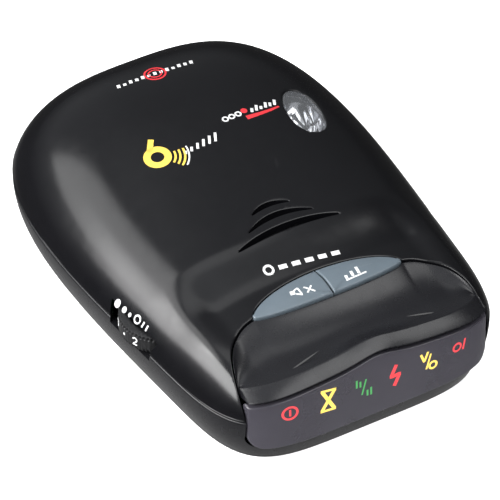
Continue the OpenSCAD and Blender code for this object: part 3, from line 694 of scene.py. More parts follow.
def build_front_panel(material):
    """A closed profile carried across the width: rear edge, scoop, rounded crest, brow, underside."""
    f = FORM
    half = f.disp_half - 0.6
    x = half * np.sin(np.linspace(-np.pi / 2, np.pi / 2, 240))
    rear_y, rear_z = f.panel_rear_y(x, f.gap), f.panel_rear_z(x)
    crest_y, crest_z = f.crest_y(x), f.crest_z(x)
    hump = 1.2 * np.exp(-(x / 6) ** 2)
    foot_y = f.outline_y(x) + f.window_lean
    foot_z = f.window_top_z(x) + 0.15
    fade = 1 - 0.7 * (np.abs(x) / f.disp_half) ** 4

    def scoop(v):
        rise = rear_z + (crest_z - hump - rear_z) * v + hump * v ** 5
        return np.stack([rear_y + (crest_y - rear_y) * v,
                         rise - f.scoop * np.sin(np.pi * v) * fade], axis=-1)

    def brow(v):
        return np.stack([crest_y + (foot_y - crest_y) * v - 0.08 * np.sin(np.pi * v),
                         crest_z + (foot_z - crest_z) * v + 0.08 * np.sin(np.pi * v)], axis=-1)

    rows = []
    edge = f.edge
    run = np.maximum(rear_y - crest_y, 1.0)
    rows.append(np.stack([rear_y, rear_z - 1.6], axis=-1))
    for a in np.radians([0, 20, 40, 60, 75, 90]):
        row = scoop(edge * (1 - np.cos(a)) / run)
        rows.append(row - np.stack([0 * x, edge * (1 - np.sin(a)) + 0 * x], axis=-1))
    for v in np.linspace(0.06, 0.975, 44):
        rows.append(scoop(np.maximum(v, edge / run)))
    start, end, corner = scoop(0.975), brow(0.07), np.stack([crest_y, crest_z], axis=-1)
    for t in np.linspace(0, 1, 9)[1:]:
        rows.append((1 - t) ** 2 * start + 2 * t * (1 - t) * corner + t * t * end)
    for v in np.linspace(0.07, 0.9, 16)[1:]:
        rows.append(brow(v))
    base = brow(0.9)
    lip = np.stack([foot_y, foot_z], axis=-1)
    back = np.stack([foot_y + 0.35, foot_z], axis=-1)
    for t in np.linspace(0, 1, 5)[1:]:
        rows.append((1 - t) ** 2 * base + 2 * t * (1 - t) * lip + t * t * back)
    rows.append(np.stack([foot_y + 1.2, foot_z], axis=-1))
    rows.append(np.stack([crest_y + 1.0, crest_z - 1.9], axis=-1))
    for v in np.linspace(0.8, 0.1, 8):
        rows.append(scoop(v) - np.array([0, 1.7]))
    profile = np.stack(rows, axis=1)
    rings = np.concatenate([np.broadcast_to(x[:, None, None], profile.shape[:2] + (1,)), profile], axis=-1)
    return add_piece("front_panel_skin", [closed_stack(rings)], material,
                     "housing", ("front_panel",), flat_angle=50)


def window_loop(g):
    """Closed outline of the display window over x and z, drawn in by g."""
    f = FORM
    half = f.disp_half - 0.45 - g
    low = f.bottom_z + 0.45 + g
    r_low, r_top = 3.0, 0.5
    t = np.linspace(0, np.pi / 2, 14)
    corner = np.column_stack([half - r_low + r_low * np.sin(t), low + r_low - r_low * np.cos(t)])
    edge_z = f.window_top_z(np.float64(half - r_top)) - 0.95 - g
    top_corner = np.column_stack([half - r_top + r_top * np.cos(t), edge_z - r_top + r_top * np.sin(t)])
    x = np.linspace(half - r_top, -half + r_top, 90)
    top = np.column_stack([x, f.window_top_z(x) - 0.95 - g])
    loop = np.vstack([corner, top_corner, top[1:-1],
                      (top_corner * [-1, 1])[::-1], (corner * [-1, 1])[::-1]])
    return even(loop, 360, closed=True)


def window_face(x, z):
    """Depth of the window's outer face: the display end's outline, leaning back upwards."""
    f = FORM
    return f.outline_y(x) + f.window_lean * (z - f.bottom_z) / (f.side_z - f.bottom_z)


def build_window(material):
    """Window: its outline drawn in ring by ring, with rounded edges back and front."""
    f = FORM
    loop = window_loop(0.0)
    middle = np.array([0.0, (f.bottom_z + f.side_z) / 2])
    edge = 0.3
    rings = []
    for share in np.linspace(0.04, 0.985, 26):
        flat = middle + (inward(loop, edge) - middle) * share
        rings.append(np.column_stack([flat[:, 0], window_face(flat[:, 0], flat[:, 1]), flat[:, 1]]))
    for a in np.radians([90, 70, 50, 30, 10, 0]):
        flat = inward(loop, edge * (1 - np.cos(a)))
        back = edge * (1 - np.sin(a))
        rings.append(np.column_stack([flat[:, 0], window_face(flat[:, 0], flat[:, 1]) + back, flat[:, 1]]))
    for share, back in ((1.0, f.window_t), (0.6, f.window_t), (0.15, f.window_t)):
        flat = middle + (loop - middle) * share
        rings.append(np.column_stack([flat[:, 0], window_face(flat[:, 0], flat[:, 1]) + back, flat[:, 1]]))
    return add_piece("display_window_skin", [closed_stack(np.stack(rings))], material,
                     "housing", ("display_lens",), flat_angle=50)


# ---------------------------------------------------------------- buttons

def button_height(x, y):
    """Height of the buttons' top: from the case down to the panel, with a slight crown."""
    f = FORM
    rear, front, q = f.boat_rear_y(x), f.boat_front_y(x), f.boat_q(x)
    v = np.clip((rear - y) / np.maximum(rear - front, 0.05), 0, 1)
    high, low = f.top_z(x, rear) + 0.1, f.panel_rear_z(x) + f.edge_step + 0.1
    return high * (1 - v) + low * v + 0.7 * np.sin(np.pi * v) * (1 - q)


def button_loop(side):
    """Closed plan of one button: half of the boat shape with rounded corners."""
    f = FORM
    inner, outer = 0.15, f.boat_half - 0.55
    x = inner + (outer - inner) * np.sin(np.linspace(0, np.pi / 2, 70))
    rear = np.column_stack([x, f.boat_rear_y(x) - 0.02])
    front = np.column_stack([x, f.boat_front_y(x) + 0.02])
    tip_r = (rear[-1, 1] - front[-1, 1]) / 2
    t = np.linspace(-np.pi / 2, np.pi / 2, 12)[1:-1]
    tip = np.column_stack([outer + tip_r * 0.9 * np.cos(t), f.tip_y + 0 * t + tip_r * np.sin(t)
                           + (rear[-1, 1] + front[-1, 1]) / 2 - f.tip_y])
    loop = even(np.vstack([front, tip, rear[::-1]]), 300, closed=True)
    return loop if side > 0 else (loop * [-1, 1])[::-1]


def build_button(side, material):
    f = FORM
    name = "left_button" if side < 0 else "right_button"
    loop = button_loop(side)
    middle = np.array([side * 6.5, f.tip_y + 1.4])
    edge = 0.42
    rings = []
    for share in np.linspace(0.05, 0.97, 22):
        flat = middle + (inward(loop, edge) - middle) * share
        rings.append(np.column_stack([flat, button_height(flat[:, 0], flat[:, 1])]))
    for a in np.radians([90, 72, 54, 36, 18, 0]):
        flat = inward(loop, edge * (1 - np.cos(a)))
        rings.append(np.column_stack([flat, button_height(flat[:, 0], flat[:, 1]) - edge * (1 - np.sin(a))]))
    for share, drop in ((1.0, 1.5), (0.5, 1.5)):
        flat = middle + (loop - middle) * share
        rings.append(np.column_stack([flat, button_height(flat[:, 0], flat[:, 1]) - drop]))
    stem_low = box_mm(name)[0][2]
    stem_top = button_height(np.float64(side * 8.5), np.float64(f.tip_y + 1)) - 1.2
    stem = lathe([(1.2, stem_low), (1.4, stem_low + 0.2), (1.4, stem_top)],
                 np.array([side * 8.5, f.tip_y + 1, 0]), (0, 0, 1), 32)
    return add_piece(name + "_skin", [closed_stack(np.stack(rings)), stem], material,
                     name, (name,), flat_angle=50)


# ---------------------------------------------------------------- receiver window in the top

def build_eye(material):
    """Clear cover: the egg plan drawn in ring by ring, lying in the dome."""
    f = FORM
    loop = eye_loop(0.12)
    middle = loop.mean(axis=0)
    edge = 0.3
    rings = []
    for share in np.linspace(0.05, 0.97, 16):
        flat = middle + (inward(loop, edge) - middle) * share
        rings.append(np.column_stack([flat, f.top_z(flat[:, 0], flat[:, 1]) - 0.02]))
    for a in np.radians([90, 60, 30, 0]):
        flat = inward(loop, edge * (1 - np.cos(a)))
        rings.append(np.column_stack([flat, f.top_z(flat[:, 0], flat[:, 1]) - 0.02 - edge * (1 - np.sin(a))]))
    for share in (1.0, 0.8, 0.4, 0.1):
        flat = middle + (loop - middle) * share
        rings.append(np.column_stack([flat, f.top_z(flat[:, 0], flat[:, 1]) - 1.3]))
    return add_piece("receiver_window_skin", [closed_stack(np.stack(rings))], material,
                     "housing", ("laser_lens",), flat_angle=50)


def build_reflector(material):
    """Bright bowl with crossing folds: depth = 3.6 (1 - r^2.2) + r (1 - r^8) of two |sin| folds."""
    top = box_mm("laser_reflector")[1][2]
    loop = eye_loop(-0.5, 192)
    middle = loop.mean(axis=0)
    t = np.arctan2(loop[:, 1] - middle[1], loop[:, 0] - middle[0])
    rings = []
    for share in np.linspace(0.16, 1.0, 30):
        flat = middle + (loop - middle) * share
        bowl = 3.6 * (1 - share ** 2.2)
        wave = 0.9 * np.abs(np.sin(2.5 * t + 3.4 * share)) + 0.6 * np.abs(np.sin(4 * t - 5.2 * share + 0.7))
        folds = wave * share * (1 - share ** 8)
        rings.append(np.column_stack([flat, top - bowl - folds]))
    for drop, share in ((0.2, 1.03), (6.9, 1.03), (7.0, 0.4), (7.0, 0.16), (4.2, 0.155)):
        flat = middle + (loop - middle) * share
        rings.append(np.column_stack([flat, np.full(len(flat), top - drop)]))
    rings = np.stack(rings)
    points = rings.reshape(-1, 3)
    rows, cols = rings.shape[:2]
    index = ring_faces(rows + 1, cols) % (rows * cols)
    return add_piece("reflector_skin", [(points, [index])], material,
                     "housing", ("laser_reflector",), flat_angle=25)


# ---------------------------------------------------------------- volume wheel

WHEEL_THICK = 4.0       # height of the wheel, mm


def build_wheel(material):
    """Wheel: a rounded profile carried round the axis; ribs cut the rim at its two margins."""
    ribs, sides = 60, 960
    top = WHEEL[1][2]
    t = np.linspace(0, TAU, sides, endpoint=False)
    notch = 0.28 * np.abs(np.sin(ribs * t / 2)) ** 3
    rows = []
    profile = (
        (1.0, 3.2, 0), (WHEEL_R - 2.5, 3.2, 0), (WHEEL_R - 2.3, 3.3, 0), (WHEEL_R - 2.2, 3.85, 0),
        (WHEEL_R - 2.0, 4.0, 0), (WHEEL_R - 0.4, 4.0, 0.2), (WHEEL_R - 0.15, 3.93, 0.7),
        (WHEEL_R - 0.03, 3.7, 1), (WHEEL_R - 0.03, 3.3, 1), (WHEEL_R - 0.03, 3.15, 0),
        (WHEEL_R - 0.03, 0.85, 0), (WHEEL_R - 0.03, 0.7, 1), (WHEEL_R - 0.03, 0.3, 1),
        (WHEEL_R - 0.15, 0.07, 0.7), (WHEEL_R - 0.4, 0.0, 0.2), (3.0, 0.0, 0), (1.5, 0.0, 0),
    )

    def ring(r, z, cut):
        radius = r - notch * cut
        rows.append(np.stack([radius * np.cos(t), radius * np.sin(t),
                              np.full_like(t, top - WHEEL_THICK + z)], axis=-1))

    for r, z, cut in profile:
        ring(r, z, cut)
    low = WHEEL[0][2] - (top - 4.0)
    ring(1.5, low + 0.2, 0)
    ring(1.3, low, 0)
    rings = np.stack(rows) + WHEEL_AXIS * [1, 1, 0] + np.array([0, FORM.mid_y, 0])
    return add_piece("volume_wheel_skin", [closed_stack(rings)], material,
                     "volume_wheel", ("volume_wheel",), flat_angle=40)


# ---------------------------------------------------------------- prints

PRINT_T = 0.035


def ribbon(path, width, count=None):
    """Grid (rows, 3, 2) of a flat line of the given width along a path of (u, v) points."""
    path = np.asarray(path, float)
    path = even(path, count or max(8, int(len(path))))
    way = np.gradient(path, axis=0)
    normal = np.column_stack([-way[:, 1], way[:, 0]]) / np.linalg.norm(way, axis=1)[:, None]
    shares = np.linspace(-0.5, 0.5, 5)
    return path[:, None, :] + normal[:, None, :] * (np.reshape(width, (-1, 1, 1)) * shares[None, :, None])


def arc_path(centre, radius, start, end, count=40):
    """Points on an arc, with angles in degrees; radius may be a pair for an ellipse."""
    t = np.radians(np.linspace(start, end, count))
    rx, ry = np.broadcast_to(radius, 2)
    return np.column_stack([centre[0] + rx * np.cos(t), centre[1] + ry * np.sin(t)])


def line_path(a, b, count=10):
    return np.linspace(a, b, count)


def on_dome(grid):
    """Lifts a (u, v) grid given in waist-frame x and y onto the dome."""
    x, y = grid[..., 0], grid[..., 1]
    return np.stack([x, y, FORM.top_z(x, y) + 0.02], axis=-1)


def on_window(grid):
    """Places a grid given in x and z on the outer face of the window."""
    x, z = grid[..., 0], grid[..., 1]
    return np.stack([x, window_face(x, z) - 0.02, z], axis=-1)


def on_buttons(grid):
    x, y = grid[..., 0], grid[..., 1]
    return np.stack([x, y, button_height(x, y) + 0.02], axis=-1)


def on_wheel(grid):
    """Wraps a grid given in arc length and height round the rim of the wheel."""
    turn = np.pi + grid[..., 0] / WHEEL_R
    place = np.stack([WHEEL_R * np.cos(turn), WHEEL_R * np.sin(turn), grid[..., 1]], axis=-1)
    return place + WHEEL_AXIS * [1, 1, 0] + np.array([0, FORM.mid_y, 0])


def to_wheel_axis(grid):
    """Short steps from the rim of the wheel towards its axis."""
    way = (WHEEL_AXIS + [0, FORM.mid_y, 0] - grid) * [1, 1, 0]
    return way / np.linalg.norm(way, axis=-1, keepdims=True) * PRINT_T


def print_on(name, strokes, lift, inward_way, material, body):
    """Thin closed prints from strokes of (path, width), laid on a surface."""
    bodies = []
    for path, width in strokes:
        grid = lift(ribbon(path, width, max(8, len(path))))
        drop = inward_way(grid) if callable(inward_way) else np.asarray(inward_way) * PRINT_T
        bodies.append(slab(grid, drop))
    return add_piece(name, bodies, material, body, flat_angle=60)


# ---------------------------------------------------------------- materials

class Paint:
    """Builds one node material, keeping the wiring short."""

    def __init__(self, name):
        self.material = bpy.data.materials.new(name)
        self.material.use_nodes = True
        self.tree = self.material.node_tree
        self.shader = self.tree.nodes["Principled BSDF"]

    def node(self, kind, **values):
        made = self.tree.nodes.new(kind)
        for key, value in values.items():
            setattr(made, key, value)
        return made

    def set(self, **values):
        """Constant values of the shader's sockets; underscores stand for spaces."""
        for key, value in values.items():
            socket = self.shader.inputs[key.replace("_", " ")]
            if hasattr(value, "__len__") and len(value) == 3 and socket.type == "RGBA":
                value = (*value, 1.0)
            socket.default_value = value
        return self

    def link(self, a, b):
        self.tree.links.new(a, b)

    def group(self, maker, **values):
        """Adds a shared node group and sets its constants."""
        used = self.node("ShaderNodeGroup")
        used.node_tree = maker()
        for key, value in values.items():
            socket = used.inputs[key.replace("_", " ")]
            if hasattr(value, "__len__") and len(value) == 3 and socket.type == "RGBA":
                value = (*value, 1.0)
            socket.default_value = value
        return used


def shared(name, inputs, outputs):
    """A node group that is made once; returns it and whether it is new."""
    known = bpy.data.node_groups.get(name)
    if known:
        return known, None, None, None
    group = bpy.data.node_groups.new(name, "ShaderNodeTree")
    for label, kind, value in inputs:
        socket = group.interface.new_socket(name=label, in_out="INPUT", socket_type=kind)
        socket.default_value = value
    for label, kind in outputs:
        group.interface.new_socket(name=label, in_out="OUTPUT", socket_type=kind)
    enter, leave = group.nodes.new("NodeGroupInput"), group.nodes.new("NodeGroupOutput")
    return group, group, enter, leave


def sum_up(tree, operation, a, b, clamp=False):
    """A math node over two sockets or numbers."""
    made = tree.nodes.new("ShaderNodeMath")
    made.operation = operation
    made.use_clamp = clamp
    for socket, value in zip(made.inputs, (a, b)):
        if isinstance(value, (int, float)):
            socket.default_value = value
        else:
            tree.links.new(value, socket)
    return made.outputs[0]


def noise(tree, vector, scale, detail=2.0, rough=0.5):
    made = tree.nodes.new("ShaderNodeTexNoise")
    made.inputs["Detail"].default_value = detail
    made.inputs["Roughness"].default_value = rough
    if isinstance(scale, (int, float)):
        made.inputs["Scale"].default_value = scale
    else:
        tree.links.new(scale, made.inputs["Scale"])
    tree.links.new(vector, made.inputs["Vector"])
    return made.outputs["Fac"]


def spread(tree, value, low, high, start, end):
    """Maps a value from low..high to start..end and holds it there."""
    made = tree.nodes.new("ShaderNodeMapRange")
    tree.links.new(value, made.inputs["Value"])
    for key, number in (("From Min", low), ("From Max", high), ("To Min", start), ("To Max", end)):
        if isinstance(number, (int, float)):
            made.inputs[key].default_value = number
        else:
            tree.links.new(number, made.inputs[key])
    return made.outputs["Result"]


def moulded_group():
    """Moulded plastic: colour mottle, roughness clouds, fine texture, wear on edges, thin dust."""
    group, new, enter, leave = shared("moulded plastic", (
        ("Color", "NodeSocketColor", (0.01, 0.01, 0.01, 1)),
        ("Wear Color", "NodeSocketColor", (0.06, 0.06, 0.065, 1)),
        ("Roughness", "NodeSocketFloat", 0.35),
        ("Variation", "NodeSocketFloat", 0.05),
        ("Grain Scale", "NodeSocketFloat", 9000.0),
        ("Grain", "NodeSocketFloat", 0.1),
        ("Wear", "NodeSocketFloat", 0.3),
        ("Dust", "NodeSocketFloat", 0.05),
    ), (("Color", "NodeSocketColor"), ("Roughness", "NodeSocketFloat"), ("Height", "NodeSocketFloat")))
    if new is None:
        return group
    tree = group
    place = tree.nodes.new("ShaderNodeTexCoord").outputs["Object"]
    clouds = noise(tree, place, 70.0, 4.0, 0.6)
    smears = noise(tree, place, 320.0, 3.0, 0.55)
    grain = noise(tree, place, enter.outputs["Grain Scale"], 2.0, 0.5)
    specks = noise(tree, place, 5200.0, 1.0, 0.4)
    geometry = tree.nodes.new("ShaderNodeNewGeometry")
    edge = spread(tree, geometry.outputs["Pointiness"], 0.53, 0.60, 0.0, 1.0)
    broken = spread(tree, smears, 0.42, 0.62, 0.0, 1.0)
    worn = sum_up(tree, "MULTIPLY", sum_up(tree, "MULTIPLY", edge, broken), enter.outputs["Wear"])
    speck = spread(tree, specks, 0.69, 0.74, 0.0, 1.0)
    dusty = sum_up(tree, "MULTIPLY", speck, enter.outputs["Dust"])
    tint = tree.nodes.new("ShaderNodeHueSaturation")
    tree.links.new(enter.outputs["Color"], tint.inputs["Color"])
    tree.links.new(spread(tree, clouds, 0.3, 0.7, 0.9, 1.1), tint.inputs["Value"])
    mixed = tree.nodes.new("ShaderNodeMix")
    mixed.data_type = "RGBA"
    tree.links.new(worn, mixed.inputs["Factor"])
    tree.links.new(tint.outputs["Color"], mixed.inputs["A"])
    tree.links.new(enter.outputs["Wear Color"], mixed.inputs["B"])
    dusted = tree.nodes.new("ShaderNodeMix")
    dusted.data_type = "RGBA"
    tree.links.new(dusty, dusted.inputs["Factor"])
    tree.links.new(mixed.outputs["Result"], dusted.inputs["A"])
    dusted.inputs["B"].default_value = (0.35, 0.34, 0.32, 1)
    tree.links.new(dusted.outputs["Result"], leave.inputs["Color"])
    swing = sum_up(tree, "MULTIPLY", spread(tree, smears, 0.3, 0.7, -1.0, 1.0), enter.outputs["Variation"])
    level = sum_up(tree, "ADD", enter.outputs["Roughness"], swing)
    level = sum_up(tree, "ADD", level, sum_up(tree, "MULTIPLY", dusty, 0.6), True)
    tree.links.new(level, leave.inputs["Roughness"])
    fine = sum_up(tree, "MULTIPLY", grain, enter.outputs["Grain"])
    tree.links.new(sum_up(tree, "ADD", fine, sum_up(tree, "MULTIPLY", clouds, 0.15)), leave.inputs["Height"])
    return group


def brushed_group():
    """Drawn metal: long streaks in brightness, roughness and height, with dull spots."""
    group, new, enter, leave = shared("drawn metal", (
        ("Color", "NodeSocketColor", (0.5, 0.5, 0.5, 1)),
        ("Roughness", "NodeSocketFloat", 0.3),
        ("Streak", "NodeSocketFloat", 0.1),
        ("Stretch", "NodeSocketVector", (400.0, 400.0, 4000.0)),
    ), (("Color", "NodeSocketColor"), ("Roughness", "NodeSocketFloat"), ("Height", "NodeSocketFloat")))
    if new is None:
        return group
    tree = group
    place = tree.nodes.new("ShaderNodeTexCoord").outputs["Object"]
    stretched = tree.nodes.new("ShaderNodeVectorMath")
    stretched.operation = "MULTIPLY"
    tree.links.new(place, stretched.inputs[0])
    tree.links.new(enter.outputs["Stretch"], stretched.inputs[1])
    streaks = noise(tree, stretched.outputs["Vector"], 1.0, 3.0, 0.6)
    stains = noise(tree, place, 500.0, 4.0, 0.65)
    tint = tree.nodes.new("ShaderNodeHueSaturation")
    tree.links.new(enter.outputs["Color"], tint.inputs["Color"])
    shade_of = sum_up(tree, "MULTIPLY", spread(tree, streaks, 0.3, 0.7, 0.88, 1.1),
                      spread(tree, stains, 0.35, 0.75, 0.85, 1.05))
    tree.links.new(shade_of, tint.inputs["Value"])
    tree.links.new(tint.outputs["Color"], leave.inputs["Color"])
    swing = sum_up(tree, "MULTIPLY", spread(tree, streaks, 0.3, 0.7, -1.0, 1.0), enter.outputs["Streak"])
    dull = spread(tree, stains, 0.55, 0.75, 0.0, 0.15)
    level = sum_up(tree, "ADD", sum_up(tree, "ADD", enter.outputs["Roughness"], swing), dull, True)
    tree.links.new(level, leave.inputs["Roughness"])
    tree.links.new(streaks, leave.inputs["Height"])
    return group


def moulded(name, base, rough, variation=0.04, grain=0.1, grain_scale=9000.0, wear=0.25,
            dust=0.03, bump=0.05, wear_colour=(0.05, 0.05, 0.055), **more):
    """A moulded plastic material."""
    paint = Paint(name)
    used = paint.group(moulded_group, Color=base, Wear_Color=wear_colour, Roughness=rough,
                       Variation=variation, Grain=grain, Grain_Scale=grain_scale, Wear=wear, Dust=dust)
    paint.link(used.outputs["Color"], paint.shader.inputs["Base Color"])
    paint.link(used.outputs["Roughness"], paint.shader.inputs["Roughness"])
    bumped = paint.node("ShaderNodeBump")
    bumped.inputs["Strength"].default_value = bump
    bumped.inputs["Distance"].default_value = 0.0001
    paint.link(used.outputs["Height"], bumped.inputs["Height"])
    paint.link(bumped.outputs["Normal"], paint.shader.inputs["Normal"])
    paint.set(**more)
    return paint.material


def drawn(name, base, rough, streak=0.1, stretch=(400.0, 400.0, 4000.0), bump=0.1, **more):
    """A metal material."""
    paint = Paint(name)
    used = paint.group(brushed_group, Color=base, Roughness=rough, Streak=streak, Stretch=stretch)
    paint.link(used.outputs["Color"], paint.shader.inputs["Base Color"])
    paint.link(used.outputs["Roughness"], paint.shader.inputs["Roughness"])
    bumped = paint.node("ShaderNodeBump")
    bumped.inputs["Strength"].default_value = bump
    bumped.inputs["Distance"].default_value = 0.00005
    paint.link(used.outputs["Height"], bumped.inputs["Height"])
    paint.link(bumped.outputs["Normal"], paint.shader.inputs["Normal"])
    paint.set(Metallic=1.0, **more)
    return paint.material


def clear_plastic(name, tint, rough, alpha, **more):
    """Tinted or clear window plastic that lets the inside show through a little."""
    material = moulded(name, tint, rough, 0.02, 0.02, 3000.0, 0.0, 0.02, 0.02, **more)
    shader = material.node_tree.nodes["Principled BSDF"]
    shader.inputs["Alpha"].default_value = alpha
    material.surface_render_method = "DITHERED"
    return material


def printed(name, base, glow=0.0):
    """Silk-screen ink with a faint mottle. With glow, the ink also gives off painted light of its own colour,
    though it is no lamp.
    """
    material = moulded(name, base, 0.42, 0.08, 0.4, 14000.0, 0.0, 0.0, 0.15)
    if glow:
        shader = material.node_tree.nodes["Principled BSDF"]
        shader.inputs["Emission Color"].default_value = (*base, 1.0)
        shader.inputs["Emission Strength"].default_value = glow
    return material


def board_material():
    """Circuit board: green lacquer with copper tracks, pads and a weave below."""
    paint = Paint("circuit_board")
    tree = paint.tree
    place = paint.node("ShaderNodeTexCoord").outputs["Object"]
    cells = paint.node("ShaderNodeTexBrick")
    paint.link(place, cells.inputs["Vector"])
    for key, value in (("Scale", 320.0), ("Mortar Size", 0.06), ("Brick Width", 0.9), ("Row Height", 0.35)):
        cells.inputs[key].default_value = value
    cells.inputs["Color1"].default_value = (0.012, 0.075, 0.03, 1)
    cells.inputs["Color2"].default_value = (0.010, 0.062, 0.026, 1)
    cells.inputs["Mortar"].default_value = (0.03, 0.16, 0.055, 1)
    spots = paint.node("ShaderNodeTexVoronoi")
    spots.inputs["Scale"].default_value = 420.0
    paint.link(place, spots.inputs["Vector"])
    pad = spread(tree, spots.outputs["Distance"], 0.16, 0.20, 1.0, 0.0)
    mixed = paint.node("ShaderNodeMix", data_type="RGBA")
    paint.link(pad, mixed.inputs["Factor"])
    paint.link(cells.outputs["Color"], mixed.inputs["A"])
    mixed.inputs["B"].default_value = (0.55, 0.56, 0.52, 1)
    paint.link(mixed.outputs["Result"], paint.shader.inputs["Base Color"])
    paint.link(sum_up(tree, "MULTIPLY", pad, 0.9), paint.shader.inputs["Metallic"])
    dullness = spread(tree, noise(tree, place, 900.0, 3.0), 0.3, 0.7, 0.3, 0.5)
    paint.link(dullness, paint.shader.inputs["Roughness"])
    bumped = paint.node("ShaderNodeBump")
    bumped.inputs["Strength"].default_value = 0.3
    bumped.inputs["Distance"].default_value = 0.0001
    paint.link(cells.outputs["Fac"], bumped.inputs["Height"])
    paint.link(bumped.outputs["Normal"], paint.shader.inputs["Normal"])
    return paint.material


def label_material():
    """Silver rating label: printed rules and rows of blocks standing for small print."""
    paint = Paint("label")
    tree = paint.tree
    place = paint.node("ShaderNodeTexCoord").outputs["Object"]
    rows = paint.node("ShaderNodeTexBrick")
    paint.link(place, rows.inputs["Vector"])
    for key, value in (("Scale", 420.0), ("Mortar Size", 0.28), ("Brick Width", 1.7), ("Row Height", 0.8)):
        rows.inputs[key].default_value = value
    rows.inputs["Color1"].default_value = (0.03, 0.03, 0.035, 1)
    rows.inputs["Color2"].default_value = (0.06, 0.06, 0.065, 1)
    rows.inputs["Mortar"].default_value = (0.55, 0.56, 0.57, 1)
    bare = (0.55, 0.56, 0.57, 1)
    split = paint.node("ShaderNodeSeparateXYZ")
    paint.link(place, split.inputs[0])
    band = sum_up(tree, "MULTIPLY", spread(tree, split.outputs["X"], -0.0150, -0.0149, 0.0, 1.0),
                  spread(tree, split.outputs["X"], 0.0080, 0.0081, 1.0, 0.0))
    print_here = sum_up(tree, "MULTIPLY", band, spread(tree, split.outputs["Y"], -0.0240, -0.0239, 0.0, 1.0))
    print_here = sum_up(tree, "MULTIPLY", print_here,
                        spread(tree, split.outputs["Y"], -0.0080, -0.0079, 1.0, 0.0))
    mixed = paint.node("ShaderNodeMix", data_type="RGBA")
    paint.link(print_here, mixed.inputs["Factor"])
    mixed.inputs["A"].default_value = bare
    paint.link(rows.outputs["Color"], mixed.inputs["B"])
    paint.link(mixed.outputs["Result"], paint.shader.inputs["Base Color"])
    dullness = spread(tree, noise(tree, place, 700.0, 3.0), 0.3, 0.7, 0.28, 0.42)
    paint.link(dullness, paint.shader.inputs["Roughness"])
    paint.set(Metallic=0.35)
    return paint.material


def woven_material():
    """Loudspeaker cloth: two crossed sets of threads."""
    paint = Paint("cloth_black")
    tree = paint.tree
    place = paint.node("ShaderNodeTexCoord").outputs["Object"]
    heights = []
    for direction in ("X", "Y"):
        wave = paint.node("ShaderNodeTexWave", wave_type="BANDS", bands_direction=direction)
        wave.inputs["Scale"].default_value = 900.0
        wave.inputs["Distortion"].default_value = 0.4
        paint.link(place, wave.inputs["Vector"])
        heights.append(wave.outputs["Fac"])
    weave = sum_up(tree, "MAXIMUM", *heights)
    paint.link(spread(tree, weave, 0.0, 1.0, 0.75, 0.95), paint.shader.inputs["Roughness"])
    tint = paint.node("ShaderNodeHueSaturation")
    tint.inputs["Color"].default_value = (0.012, 0.012, 0.013, 1)
    paint.link(spread(tree, weave, 0.0, 1.0, 0.4, 1.6), tint.inputs["Value"])
    paint.link(tint.outputs["Color"], paint.shader.inputs["Base Color"])
    bumped = paint.node("ShaderNodeBump")
    bumped.inputs["Strength"].default_value = 0.8
    bumped.inputs["Distance"].default_value = 0.0001
    paint.link(weave, bumped.inputs["Height"])
    paint.link(bumped.outputs["Normal"], paint.shader.inputs["Normal"])
    return paint.material


def inner_materials():
    """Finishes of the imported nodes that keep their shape, by material slot."""
    grey = (0.5, 0.5, 0.51)
    return {
        "legend_film": moulded("legend_film", (0.012, 0.012, 0.014), 0.5, grain=0.2, wear=0),
        "light_box": moulded("light_box", (0.62, 0.60, 0.56), 0.6, wear=0),
        "lamps": moulded("lamps", (0.62, 0.30, 0.20), 0.12, wear=0, bump=0.01),
        "switch_black": moulded("switch_black", (0.012, 0.012, 0.013), 0.5),
        "plunger_cream": moulded("plunger_cream", (0.55, 0.50, 0.40), 0.45),
        "pot_body": moulded("pot_body", (0.20, 0.10, 0.035), 0.5, grain=0.4, wear_colour=(0.3, 0.2, 0.1)),
        "sensor_black": moulded("sensor_black", (0.008, 0.007, 0.011), 0.15, wear=0),
        "post_grey": moulded("post_grey", (0.12, 0.12, 0.125), 0.55),
        "nose_window": moulded("nose_window", (0.012, 0.009, 0.011), 0.10, 0.02, 0.02, 3000.0,
                               wear=0.1, bump=0.02),
        "circuit_board": board_material(),
        "antenna_casting": drawn("antenna_casting", (0.44, 0.44, 0.45), 0.5, 0.06,
                                 (2500.0, 2500.0, 2500.0), 0.5),
        "antenna_plate": drawn("antenna_plate", (0.56, 0.56, 0.57), 0.3, 0.1, (300.0, 3000.0, 300.0)),
        "screw_steel": drawn("screw_steel", grey, 0.28, 0.08, (1500.0, 1500.0, 1500.0)),
        "shield_tin": drawn("shield_tin", (0.62, 0.61, 0.58), 0.32, 0.1, (3000.0, 300.0, 300.0)),
        "speaker_steel": drawn("speaker_steel", (0.35, 0.35, 0.36), 0.38, 0.08, (900.0, 900.0, 900.0)),
        "magnet": moulded("magnet", (0.035, 0.035, 0.038), 0.55, grain=0.6, wear=0.6),
        "cone_paper": moulded("cone_paper", (0.012, 0.012, 0.012), 0.8,
                              grain=1.0, grain_scale=4000.0, bump=0.4),
        "cloth_black": woven_material(),
        "lead_red": moulded("lead_red", (0.42, 0.012, 0.02), 0.35),
        "jack_black": moulded("jack_black", (0.010, 0.010, 0.011), 0.42, grain=0.3),
        "contact_metal": drawn("contact_metal", (0.74, 0.62, 0.34), 0.25, 0.06, (2000.0, 2000.0, 2000.0)),
        "chip_black": moulded("chip_black", (0.016, 0.016, 0.017), 0.6, grain=0.8, bump=0.2),
        "capacitor_sleeve": moulded("capacitor_sleeve", (0.018, 0.045, 0.13), 0.3),
        "crystal_can": drawn("crystal_can", (0.66, 0.66, 0.64), 0.22, 0.06, (400.0, 4000.0, 400.0)),
        "label": label_material(),
    }


def case_material(name, base, rough):
    """Satin black plastic of the case."""
    return moulded(name, base, rough, 0.025, 0.12, 6500.0, 0.12, 0.012, 0.045,
                   (0.03, 0.03, 0.033), Specular_IOR_Level=0.5, Coat_Weight=0.0)


# ---------------------------------------------------------------- print layout

